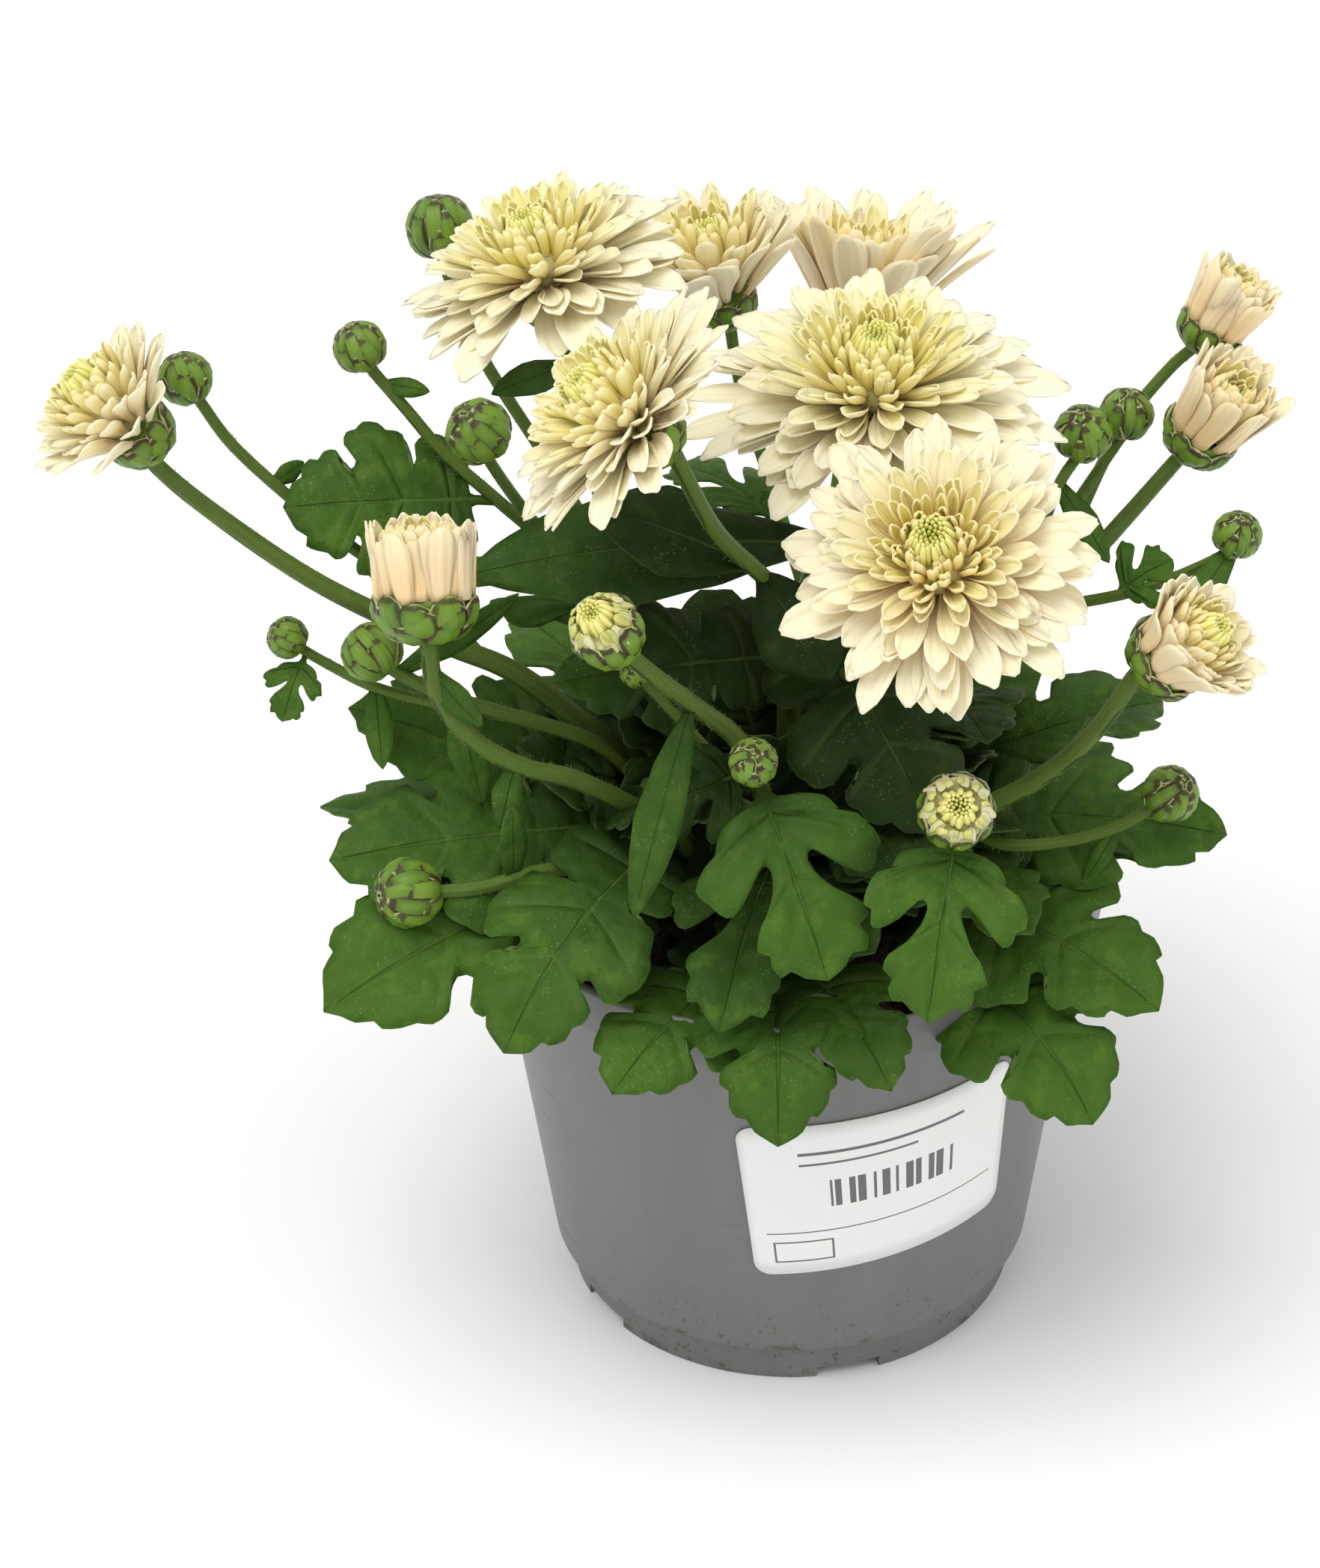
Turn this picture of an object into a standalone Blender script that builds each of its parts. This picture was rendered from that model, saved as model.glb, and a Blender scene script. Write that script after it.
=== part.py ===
"""Pot chrysanthemum: cream double flowers, buds and lobed leaves on leafy stems in a 105 mm grower's pot.

Run with: blender --background --python part.py
Metres, +Z up, origin on the pot's axis at the surface that it stands on.
The plant is laid out as seen from its best side, in millimetres to the right, to the back and up, and
FRONT_TURN then turns that layout about the pot's axis, so that the whole part is centred on the pot.
"""

import math
import random

import bmesh
import bpy
from mathutils import Matrix, Vector

MM = 0.001
FRONT_TURN = math.radians(40.0)
GOLDEN_ANGLE = math.radians(137.508)
SEED = 7
FLAT_ANGLE = math.radians(3.0)

# Pot, in millimetres
RIM_RADIUS = 52.5
POT_HEIGHT = 84.0
BAND_HEIGHT = 8.6
BAND_STEP = 2.4
WALL = 1.2
WALL_FOOT_RADIUS = 41.2
FOOT_HEIGHT = 8.0
FOOT_RADIUS = 38.4
FOOT_RING_WIDTH = 3.0
FLOOR_UNDERSIDE = 3.5
FLOOR_THICKNESS = 1.5
POT_STEPS = 32
NOTCHES = 5
NOTCH_WIDTH = 11.0
NOTCH_HEIGHT = 2.2
NOTCH_START = 27.0
DRAIN_HOLES = 6
DRAIN_RADIUS = 3.6
DRAIN_CIRCLE = 25.0

# Soil and the holes that the stems stand in
GAP = 0.4
HOLE_SIDES = 8
SOIL_EDGE = 73.5
SOIL_CROWN = 77.5
STEM_FOOT = 60.0
STEM_OUT = 79.0

# Sticker on the pot's wall
LABEL_WIDTH = 47.0
LABEL_HEIGHT = 34.0
LABEL_CENTRE = -72.0
LABEL_MIDDLE = 46.0
LABEL_TILT = 4.5
LABEL_THICKNESS = 0.4
LABEL_GAP = 0.55
LABEL_CORNER = 3.0
LABEL_COLUMNS = 9

# Blades of leaves and petals
LEAF_THICKNESS = 0.8
LEAF_FOLD = 10.0
LEAF_SWAY = 0.5
PETAL_THICKNESS = 0.75
PETAL_ROWS = ((0.0, 0.4), (0.38, 0.8), (0.78, 1.0), (1.0, 0.5))
SHORT_PETAL_ROWS = ((0.0, 0.45), (0.62, 1.0), (1.0, 0.55))
TUBE_STEP = 13.0
BALL_SIDES = 8
BALL_RINGS = 4
BRACT_RIPPLE = 0.05

# Heads: share of the cup that the core fills, petals' root radius and height on the core, and length and
# width of the inner petals as shares of the outer ones
CORE_SHARE = 0.86
CORE_HEIGHT_SHARE = 0.45
SPREAD_ROOTS = ((0.45, 0.12), (0.8, 1.45))
UPRIGHT_ROOTS = ((0.85, 0.25), (0.75, 1.3))
UPRIGHT_FROM = 60
INNER_LENGTH = 0.3
INNER_WIDTH = 0.6
RISE_POWER = 1.5

# Half outlines of the leaves: share of the length, share of the half width
LEAF_OUTLINES = {
    "lobed": (
        (0.0, 0.06), (0.22, 0.2), (0.3, 0.78), (0.44, 0.42), (0.54, 0.92),
        (0.72, 1.0), (0.72, 0.46), (0.9, 0.5), (1.0, 0.0),
    ),
    "cut": (
        (0.0, 0.05), (0.16, 0.08), (0.28, 0.5), (0.52, 1.0), (0.46, 0.27),
        (0.68, 0.4), (0.86, 0.55), (0.88, 0.28), (1.0, 0.0),
    ),
    "plain": ((0.0, 0.16), (0.3, 0.72), (0.58, 1.0), (0.84, 0.6), (1.0, 0.0)),
    "bract": ((0.0, 0.4), (0.5, 1.0), (1.0, 0.0)),
}

# Flower heads: foot of the green cup, way it faces, cup's radius and depth, petals' reach, number and
# width, and the angle at which they rise, for the outer ones at root and tip, then for the inner ones
HEADS = {
    "bloom_back_left": ((-36, 30, 168), (-0.28, -0.05, 0.96), (6.5, 5.5), 27.5, 19, 10.2, (14, -16, 78, 104)),
    "bloom_centre_left": ((-19, -23, 173), (-0.69, -0.1, 0.72), (6.5, 5.5), 25.5, 19, 9.6, (22, -6, 78, 104)),
    "bloom_centre": ((14, 9, 156), (0.0, -0.19, 0.97), (7.5, 6.0), 33, 24, 11.8, (12, -18, 78, 106)),
    "bloom_front": ((23, -33, 153), (-0.15, -0.54, 0.82), (7.0, 6.0), 27, 21, 10.2, (16, -16, 78, 106)),
    "bloom_back_right": ((14, 74, 133), (0.12, 0.25, 0.95), (6.5, 6.0), 29, 14, 11.4, (46, 28, 76, 92)),
    "bloom_back": ((-8, 60, 150), (-0.2, 0.0, 0.97), (6.0, 5.5), 13, 10, 8.4, (60, 48, 76, 92)),
    "bloom_far_left": ((-99, -2, 163), (-0.64, -0.11, 0.76), (6.2, 6.0), 17.5, 14, 8.0, (42, 22, 78, 98)),
    "head_left": ((-57, -28, 141), (-0.03, 0.4, 0.91), (8.8, 8.5), 6.6, 9, 6.8, (76, 80, 88, 92)),
    "head_right_back": ((70, 51, 147), (0.5, 0.1, 0.85), (6.2, 6.0), 6.4, 7, 6.4, (66, 70, 84, 92)),
    "head_right": ((67, 39, 134), (0.5, -0.15, 0.85), (7.0, 7.0), 9.4, 9, 6.8, (62, 58, 84, 98)),
    "head_front_right": ((53, -34, 138), (0.67, -0.31, 0.67), (7.2, 7.0), 15.5, 12, 7.6, (56, 36, 80, 98)),
    "opening_bud_left": ((-27, -41, 149), (-0.35, -0.45, 0.82), (5.9, 7.0), 3.4, 6, 3.2, (90, 120, 96, 120)),
    "opening_bud_right": ((24, -47, 121), (0.0, -0.75, 0.65), (6.2, 7.0), 3.4, 6, 3.4, (90, 120, 96, 120)),
}

UP = (0, 0, 1)
LEAN = (0, -1, 2)
TOWARDS = (0, -1, 1)

# Leafy stems: foot in the soil; stalks as radius at start and end with a route; heads that they carry;
# buds as middle, way they face and radius; leaves as stalk, share along it, tip, rise and place of the
# arch, way the upper face looks, width and outline
STEMS = {
    "stem_left": {
        "foot": (-16, -7),
        "stalks": (
            (2.1, 1.2, ((-17, -7, 88), (-27, -5, 104), (-43, -5, 121), (-57, -4, 128), (-76, -3, 139),
                        (-93, -2, 153), (-101, -2, 162))),
            (1.1, 0.9, ((-50, -4, 125), (-60, 4, 132), (-70, 8, 138), (-80, 11, 146), (-89, 13, 155),
                        (-94, 14, 163))),
            (1.3, 1.1, ((-23, -5, 99), (-32, -9, 111), (-47, -12, 119), (-57, -12, 123), (-64, -12, 128))),
            (1.0, 0.8, ((-46, -12, 118), (-58, -10, 120), (-67, -7, 121), (-74, -5, 124), (-79, -4, 127))),
            (1.6, 1.4, ((-17, -8, 87), (-20, -15, 98), (-34, -22, 112), (-43, -25, 117), (-51, -27, 124),
                        (-56, -28, 133), (-57, -28, 142))),
            (1.3, 1.1, ((-19, -13, 94), (-28, -24, 97), (-40, -28, 99), (-50, -31, 98), (-58, -32, 98))),
        ),
        "buds": (
            ((-96, 14, 167), (-0.3, 0.1, 0.95), 4.6),
            ((-67, -12, 131), (-0.6, 0.5, 0.6), 5.0),
            ((-81, -4, 129), (-0.8, -0.2, 0.5), 3.5),
            ((-62, -32, 98), (-0.85, -0.45, 0.25), 5.8),
        ),
        "leaves": (
            (0, 0.15, (-72, -2, 114), 6, 0.5, LEAN, 28, "lobed"),
            (0, 0.04, (-78, 2, 92), 9, 0.5, UP, 28, "lobed"),
            (2, 0.75, (-43, -15, 143), 1, 0.5, (1, -2, 0), 6, "bract"),
            (2, 0.52, (-50, -20, 106), 3, 0.4, TOWARDS, 7, "bract"),
            (3, 0.75, (-82, -12, 118), 2, 0.5, LEAN, 10, "cut"),
            (3, 0.4, (-66, -16, 111), 1, 0.5, TOWARDS, 5, "bract"),
            (1, 0.55, (-78, 16, 150), 1, 0.5, (1, -2, 1), 3.5, "bract"),
            (4, 0.15, (-75, -24, 99), 6, 0.5, LEAN, 34, "lobed"),
            (4, 0.03, (-76, -42, 82), 15, 0.55, LEAN, 36, "lobed"),
            (4, 0.12, (-47, -54, 82), 21, 0.65, LEAN, 28, "lobed"),
            (4, 0.45, (-47, -29, 108), 1, 0.5, TOWARDS, 5, "bract"),
            (4, 0.78, (-49, -30, 128), 1, 0.5, (-1, -1, 1), 5, "bract"),
            (5, 0.5, (-45, -30, 113), 1, 0.5, (1, -2, 0), 5, "bract"),
        ),
    },
    "stem_front": {
        "foot": (-3, -18),
        "stalks": (
            (1.8, 1.2, ((-3, -18, 90), (-5, -22, 108), (-9, -28, 123), (-15, -34, 133), (-21, -38, 141),
                        (-27, -41, 149))),
            (1.0, 0.9, ((-5, -23, 111), (-6, -33, 120), (-7, -42, 127))),
            (0.9, 0.8, ((-4, -19, 102), (-14, -19, 116), (-22, -18, 126))),
        ),
        "buds": (
            ((-7, -46, 131), (0, -0.6, 0.8), 3.9),
            ((-25, -18, 130), (-0.2, -0.4, 0.8), 2.6),
        ),
        "leaves": (
            (0, 0.6, (-26, -49, 104), 7, 0.4, TOWARDS, 10, "plain"),
            (1, 0.55, (4, -61, 100), 8, 0.45, TOWARDS, 30, "cut"),
            (0, 0.17, (-13, -59, 89), 10, 0.5, LEAN, 26, "cut"),
            (0, 0.02, (-30, -60, 78), 16, 0.7, LEAN, 26, "lobed"),
            (0, 0.0, (-4, -64, 70), 28, 0.85, LEAN, 27, "lobed"),
            (0, 0.02, (14, -62, 79), 17, 0.7, LEAN, 22, "lobed"),
            (0, 0.35, (-24, -32, 112), 4, 0.5, TOWARDS, 20, "cut"),
            (0, 0.12, (12, -44, 93), 5, 0.5, LEAN, 22, "cut"),
        ),
    },
    "stem_right": {
        "foot": (17, -8),
        "stalks": (
            (1.9, 1.3, ((18, -8, 90), (24, -17, 100), (31, -28, 110), (40, -31, 118), (47, -33, 127),
                        (53, -34, 138))),
            (1.1, 0.9, ((25, -17, 101), (33, -26, 101), (42, -26, 101), (50, -26, 103), (57, -26, 107))),
            (1.2, 1.1, ((28, -23, 105), (30, -33, 110), (28, -41, 115), (24, -47, 121))),
        ),
        "buds": (((60, -26, 110), (0.4, -0.5, 0.77), 4.7),),
        "leaves": (
            (0, 0.2, (70, -22, 99), 9, 0.5, LEAN, 26, "lobed"),
            (0, 0.05, (57, -49, 84), 19, 0.6, LEAN, 32, "lobed"),
            (0, 0.0, (72, -4, 88), 12, 0.5, UP, 28, "lobed"),
            (2, 0.7, (19, -67, 96), 6, 0.45, TOWARDS, 26, "cut"),
            (0, 0.02, (46, -60, 70), 23, 0.8, LEAN, 30, "lobed"),
            (1, 0.65, (46, -29, 94), 1, 0.5, TOWARDS, 3.5, "bract"),
            (0, 0.15, (37, -44, 96), 7, 0.5, LEAN, 26, "cut"),
        ),
    },
    "stem_back_right": {
        "foot": (16, 10),
        "stalks": (
            (1.9, 1.2, ((17, 11, 90), (30, 20, 104), (46, 30, 116), (52, 33, 119), (59, 37, 125),
                        (66, 39, 133))),
            (1.1, 1.0, ((45, 29, 115), (51, 40, 124), (58, 49, 134), (66, 53, 143))),
            (1.0, 0.9, ((33, 22, 106), (41, 27, 122), (46, 31, 134), (50, 34, 139))),
            (1.0, 0.9, ((36, 24, 108), (47, 34, 124), (55, 40, 134), (58, 42, 138))),
            (1.0, 0.8, ((42, 27, 112), (58, 24, 117), (69, 22, 123), (75, 22, 127))),
        ),
        "buds": (
            ((50, 34, 142), (-0.1, -0.4, 0.9), 5.0),
            ((58, 42, 141), (0.1, 0.0, 1.0), 4.7),
            ((75, 22, 129), (0.2, -0.3, 0.9), 4.2),
        ),
        "leaves": (
            (4, 0.2, (65, 26, 122), 2, 0.5, LEAN, 14, "cut"),
            (4, 0.7, (64, 12, 116), 1, 0.5, TOWARDS, 6, "bract"),
            (0, 0.1, (50, 8, 103), 5, 0.5, LEAN, 20, "cut"),
            (0, 0.02, (66, 38, 86), 14, 0.5, UP, 32, "lobed"),
            (0, 0.05, (46, 62, 94), 12, 0.5, UP, 26, "lobed"),
            (2, 0.5, (54, 22, 124), 1, 0.5, TOWARDS, 5, "bract"),
        ),
    },
    "stem_back": {
        "foot": (2, 17),
        "stalks": (
            (1.8, 1.2, ((3, 18, 90), (6, 36, 102), (10, 56, 116), (13, 70, 128), (14, 74, 137))),
            (1.1, 1.0, ((6, 35, 103), (0, 48, 120), (-6, 57, 138), (-8, 60, 150))),
        ),
        "buds": (),
        "leaves": (
            (0, 0.05, (14, 78, 86), 14, 0.5, UP, 28, "lobed"),
            (0, 0.02, (-16, 72, 86), 14, 0.5, UP, 26, "lobed"),
            (0, 0.3, (30, 66, 112), 7, 0.5, UP, 20, "cut"),
            (1, 0.2, (-18, 70, 116), 7, 0.5, UP, 18, "cut"),
        ),
    },
    "stem_back_left": {
        "foot": (-13, 11),
        "stalks": (
            (1.9, 1.3, ((-14, 12, 90), (-22, 17, 112), (-30, 24, 138), (-34, 29, 155), (-35, 30, 167))),
            (1.1, 1.0, ((-23, 18, 116), (-38, 34, 137), (-50, 46, 153), (-56, 53, 168))),
            (1.1, 0.9, ((-23, 17, 113), (-36, 15, 131), (-47, 13, 144), (-55, 14, 152), (-61, 15, 160),
                        (-67, 16, 168))),
            (1.0, 0.9, ((-36, 15, 131), (-43, 9, 145), (-48, 3, 158))),
        ),
        "buds": (
            ((-56, 53, 173), (-0.1, 0.3, 0.95), 5.8),
            ((-68, 16, 171), (-0.4, 0.0, 0.9), 4.4),
            ((-49, 2, 163), (-0.5, -0.3, 0.8), 5.4),
        ),
        "leaves": (
            (2, 0.33, (-81, 5, 148), 3, 0.5, TOWARDS, 27, "lobed"),
            (0, 0.03, (-64, 36, 86), 12, 0.5, UP, 30, "lobed"),
            (0, 0.05, (-46, 62, 92), 12, 0.5, UP, 28, "lobed"),
            (0, 0.35, (-60, 34, 118), 7, 0.5, UP, 22, "cut"),
            (0, 0.72, (-47, 14, 163), 1, 0.5, TOWARDS, 6, "bract"),
            (2, 0.75, (-57, 15, 163), 1, 0.5, TOWARDS, 3.5, "bract"),
        ),
    },
    "stem_centre": {
        "foot": (0, 0),
        "stalks": (
            (2.1, 1.5, ((0, 1, 90), (0, 3, 110), (2, 5, 126), (8, 8, 142), (14, 10, 156))),
            (1.4, 1.3, ((1, 4, 122), (-3, -6, 138), (-12, -15, 154), (-19, -23, 174))),
            (1.4, 1.3, ((0, 3, 110), (9, -8, 122), (18, -20, 135), (24, -29, 146), (25, -33, 153))),
        ),
        "buds": (),
        "leaves": (
            (0, 0.62, (-52, -9, 143), 8, 0.5, LEAN, 20, "plain"),
            (1, 0.35, (-31, -9, 155), 3, 0.5, LEAN, 16, "plain"),
            (1, 0.3, (6, -20, 129), 3, 0.5, TOWARDS, 15, "plain"),
            (0, 0.5, (22, -29, 105), 8, 0.5, (1, -3, 4), 32, "lobed"),
            (0, 0.42, (-38, -16, 127), 4, 0.5, TOWARDS, 22, "lobed"),
        ),
    },
}
CARRIES = {
    "stem_left": ("bloom_far_left", "head_left"),
    "stem_front": ("opening_bud_left",),
    "stem_right": ("head_front_right", "opening_bud_right"),
    "stem_back_right": ("head_right", "head_right_back"),
    "stem_back": ("bloom_back_right", "bloom_back"),
    "stem_back_left": ("bloom_back_left",),
    "stem_centre": ("bloom_centre_left", "bloom_centre", "bloom_front"),
}


def placed(right, back, up):
    """A point or direction of the front layout, in millimetres, as a vector of the part's frame."""
    return Matrix.Rotation(-FRONT_TURN, 3, "Z") @ Vector((right, back, up))


def mix(a, b, share):
    return a + (b - a) * share


def material(name, colour, roughness):
    made = bpy.data.materials.new(name)
    made.use_nodes = True
    shader = made.node_tree.nodes["Principled BSDF"]
    shader.inputs["Base Color"].default_value = (*colour, 1.0)
    shader.inputs["Roughness"].default_value = roughness
    shader.inputs["Metallic"].default_value = 0.0
    made.diffuse_color = (*colour, 1.0)
    return made


def new_object(name, mesh, collection):
    made = bpy.data.objects.new(name, mesh)
    collection.objects.link(made)
    return made


def object_from(shape, name, collection):
    """The bmesh as an object of this collection, in metres."""
    bmesh.ops.scale(shape, vec=(MM, MM, MM), verts=shape.verts)
    bmesh.ops.recalc_face_normals(shape, faces=shape.faces)
    mesh = bpy.data.meshes.new(name)
    shape.to_mesh(mesh)
    shape.free()
    return new_object(name, mesh, collection)


def evaluated_copy(source):
    """The object's mesh with its modifiers applied, in world space."""
    graph = bpy.context.evaluated_depsgraph_get()
    mesh = bpy.data.meshes.new_from_object(source.evaluated_get(graph))
    mesh.transform(source.matrix_world)
    return mesh


def drop(objects):
    for old in list(objects):
        bpy.data.objects.remove(old, do_unlink=True)


def spline(points, share):
    """A point of the smooth curve through these points, by share of their number."""
    place = min(max(share, 0.0), 1.0) * (len(points) - 1)
    first = min(int(place), len(points) - 2)
    t = place - first
    b, c = points[first], points[first + 1]
    a = points[first - 1] if first else b * 2 - c
    d = points[first + 2] if first + 2 < len(points) else c * 2 - b
    return 0.5 * (b * 2 + (c - a) * t + (a * 2 - b * 5 + c * 4 - d) * t**2 + (b * 3 - a - c * 3 + d) * t**3)


def facing_matrix(point, direction):
    """A frame at this point whose Z axis looks along the direction."""
    turn = direction.normalized().to_track_quat("Z", "Y").to_matrix().to_4x4()
    return Matrix.Translation(point) @ turn


def head_frame(head):
    """The frame on the flat top of a head's green cup."""
    foot, facing, (_, cup_depth) = HEADS[head][:3]
    axis = placed(*facing).normalized()
    return facing_matrix(placed(*foot) + axis * cup_depth, axis)


def turned(name, profile, collection):
    """A solid of revolution from a closed profile in millimetres, outer side first, top to bottom."""
    shape = bmesh.new()
    ring = [shape.verts.new((radius * MM, 0.0, height * MM)) for radius, height in profile]
    for a, b in zip(ring, ring[1:] + ring[:1]):
        if a.co.x > 0.0 or b.co.x > 0.0:
            shape.edges.new((a, b))
    mesh = bpy.data.meshes.new(name)
    shape.to_mesh(mesh)
    shape.free()
    made = new_object(name, mesh, collection)
    screw = made.modifiers.new("turn", "SCREW")
    screw.steps = screw.render_steps = POT_STEPS
    screw.use_merge_vertices = True
    screw.merge_threshold = 0.00001
    return made


def thicken(sheet, thickness):
    """Gives an open sheet its thickness, half on each side."""
    solid = sheet.modifiers.new("thickness", "SOLIDIFY")
    solid.thickness = thickness * MM
    solid.offset = 0.0


def cylinder(name, radius, low, high, centre, collection):
    shape = bmesh.new()
    bmesh.ops.create_cone(
        shape, cap_ends=True, segments=HOLE_SIDES, radius1=radius, radius2=radius, depth=high - low
    )
    bmesh.ops.translate(shape, vec=(centre[0], centre[1], (low + high) / 2), verts=shape.verts)
    return object_from(shape, name, collection)


def cut_by(target, cutters):
    """Cuts every object of the cutters' collection out of the target."""
    for cutter in cutters.objects:
        cutter.hide_render = True
        cutter.display_type = "WIRE"
    cut = target.modifiers.new("cut", "BOOLEAN")
    cut.operation = "DIFFERENCE"
    cut.operand_type = "COLLECTION"
    cut.collection = cutters


def wall_radius(height):
    """The outer radius of the pot's wall under the rim band."""
    top = POT_HEIGHT - BAND_HEIGHT
    return mix(WALL_FOOT_RADIUS, RIM_RADIUS - BAND_STEP, (height - FOOT_HEIGHT) / (top - FOOT_HEIGHT))


def build_pot(parts, guides):
    band = POT_HEIGHT - BAND_HEIGHT
    floor = FLOOR_UNDERSIDE + FLOOR_THICKNESS
    profile = (
        (RIM_RADIUS - 0.5, POT_HEIGHT),
        (RIM_RADIUS, POT_HEIGHT - 0.7),
        (RIM_RADIUS - 0.2, band + 0.3),
        (RIM_RADIUS - BAND_STEP, band - 0.4),
        (WALL_FOOT_RADIUS, FOOT_HEIGHT + 0.6),
        (FOOT_RADIUS + 0.2, FOOT_HEIGHT - 0.6),
        (FOOT_RADIUS - 0.2, 0.0),
        (FOOT_RADIUS - FOOT_RING_WIDTH, 0.0),
        (FOOT_RADIUS - FOOT_RING_WIDTH - 0.3, FLOOR_UNDERSIDE),
        (0.0, FLOOR_UNDERSIDE),
        (0.0, floor),
        (FOOT_RADIUS - WALL - 0.4, floor),
        (WALL_FOOT_RADIUS - WALL, FOOT_HEIGHT + 1.6),
        (RIM_RADIUS - BAND_STEP - WALL, band - 0.2),
        (RIM_RADIUS - WALL - 0.2, band + 1.0),
        (RIM_RADIUS - WALL, POT_HEIGHT),
    )
    pot = turned("pot", profile, parts)
    cutters = bpy.data.collections.new("pot_cutters")
    guides.children.link(cutters)
    for index in range(DRAIN_HOLES):
        angle = math.tau * (index + 0.5) / DRAIN_HOLES
        centre = (DRAIN_CIRCLE * math.cos(angle), DRAIN_CIRCLE * math.sin(angle))
        cylinder("drain_hole", DRAIN_RADIUS, FLOOR_UNDERSIDE - 2.0, floor + 2.0, centre, cutters)
    for index in range(NOTCHES):
        angle = math.tau * index / NOTCHES + math.radians(NOTCH_START)
        shape = bmesh.new()
        bmesh.ops.create_cube(shape, size=1.0)
        bmesh.ops.scale(shape, vec=(8.0, NOTCH_WIDTH, NOTCH_HEIGHT * 2), verts=shape.verts)
        bmesh.ops.translate(shape, vec=(FOOT_RADIUS - FOOT_RING_WIDTH / 2, 0.0, 0.0), verts=shape.verts)
        bmesh.ops.rotate(shape, matrix=Matrix.Rotation(angle, 3, "Z"), verts=shape.verts)
        object_from(shape, "foot_notch", cutters)
    cut_by(pot, cutters)
    pot.data.shade_smooth()
    pot.data.set_sharp_from_angle(angle=math.radians(35))
    pot.data.materials.append(material("grey_plastic", (0.27, 0.28, 0.29), 0.45))
    return pot


def build_soil(parts, guides):
    inner_top = wall_radius(SOIL_EDGE) - WALL - GAP
    floor = FLOOR_UNDERSIDE + FLOOR_THICKNESS + GAP
    profile = (
        (0.0, SOIL_CROWN),
        (inner_top - 4.0, SOIL_EDGE + 1.0),
        (inner_top, SOIL_EDGE),
        (wall_radius(FOOT_HEIGHT + 3.0) - WALL - GAP - 0.3, FOOT_HEIGHT + 3.0),
        (FOOT_RADIUS - WALL - 1.6, floor),
        (0.0, floor),
    )
    soil = turned("soil", profile, parts)
    cutters = bpy.data.collections.new("stem_holes")
    guides.children.link(cutters)
    for stem in STEMS.values():
        centre = placed(*stem["foot"], 0)
        radius = stem["stalks"][0][0] + GAP + 0.1
        cylinder("stem_hole", radius, STEM_FOOT - GAP, SOIL_CROWN + 5.0, centre, cutters)
    cut_by(soil, cutters)
    soil.data.materials.append(material("potting_soil", (0.035, 0.024, 0.016), 0.95))
    return soil


def build_label(parts):
    """A sticker with rounded corners, bent round the pot's wall and set a little askew."""
    shape = bmesh.new()
    bmesh.ops.create_grid(shape, x_segments=LABEL_COLUMNS, y_segments=3, size=0.5)
    inner_across = LABEL_WIDTH / 2 - LABEL_CORNER
    inner_up = LABEL_HEIGHT / 2 - LABEL_CORNER
    for vertex in shape.verts:
        across = vertex.co.x * LABEL_WIDTH
        at_edge = abs(vertex.co.y) > 0.4
        up = math.copysign(LABEL_HEIGHT / 2 if at_edge else inner_up, vertex.co.y)
        if at_edge:
            across = max(-inner_across, min(inner_across, across))
        askew = Matrix.Rotation(math.radians(LABEL_TILT), 2) @ Vector((across, up))
        z = LABEL_MIDDLE + askew.y
        radius = wall_radius(z) + LABEL_GAP + LABEL_THICKNESS / 2
        angle = math.radians(LABEL_CENTRE) + askew.x / wall_radius(LABEL_MIDDLE)
        vertex.co = placed(radius * math.cos(angle), radius * math.sin(angle), z)
    bmesh.ops.remove_doubles(shape, verts=shape.verts, dist=0.05)
    label = object_from(shape, "label", parts)
    thicken(label, LABEL_THICKNESS)
    label.data.materials.append(material("label_paper", (0.86, 0.87, 0.87), 0.4))
    return label


def tube(points, start_radius, end_radius, collection):
    """A tapering stalk along the smooth curve through these points."""
    length = sum((b - a).length for a, b in zip(points, points[1:]))
    count = max(3, round(length / TUBE_STEP) + 1)
    curve = bpy.data.curves.new("stalk", "CURVE")
    curve.dimensions = "3D"
    curve.bevel_depth = MM
    curve.bevel_resolution = 1
    curve.use_fill_caps = True
    line = curve.splines.new("POLY")
    line.points.add(count - 1)
    for index, point in enumerate(line.points):
        share = index / (count - 1)
        point.co = (*(spline(points, share) * MM), 1.0)
        point.radius = mix(start_radius, end_radius, share)
    guide = new_object("stalk", curve, collection)
    mesh = bpy.data.meshes.new_from_object(guide.evaluated_get(bpy.context.evaluated_depsgraph_get()))
    shape = bmesh.new()
    shape.from_mesh(mesh)
    bmesh.ops.remove_doubles(shape, verts=shape.verts, dist=0.00001)
    bmesh.ops.recalc_face_normals(shape, faces=shape.faces)
    shape.to_mesh(mesh)
    shape.free()
    made = new_object("stalk", mesh, collection)
    made.matrix_world = guide.matrix_world
    bpy.data.objects.remove(guide, do_unlink=True)
    return made


def stem_foot(stem, collection):
    """The straight piece of the first stalk that stands in the soil, widening into the stalk above."""
    radius = stem["stalks"][0][0]
    low = placed(*stem["foot"], STEM_FOOT)
    return cylinder("stem_foot", radius, STEM_FOOT, STEM_OUT + 1.0, low, collection)


def stalk_route(name, index):
    """A stalk's points in the part's frame, from the soil or its parent stalk into its cup or bud."""
    stem = STEMS[name]
    route = [placed(*point) for point in stem["stalks"][index][2]]
    if index == 0:
        route.insert(0, placed(*stem["foot"], STEM_OUT))
    ends = [placed(*bud[0]) for bud in stem["buds"]]
    for head in CARRIES[name]:
        foot, facing, (_, depth) = HEADS[head][:3]
        ends.append(placed(*foot) + placed(*facing).normalized() * depth * 0.5)
    nearest = min(ends, key=lambda end: (end - route[-1]).length)
    return route + [nearest]


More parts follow.
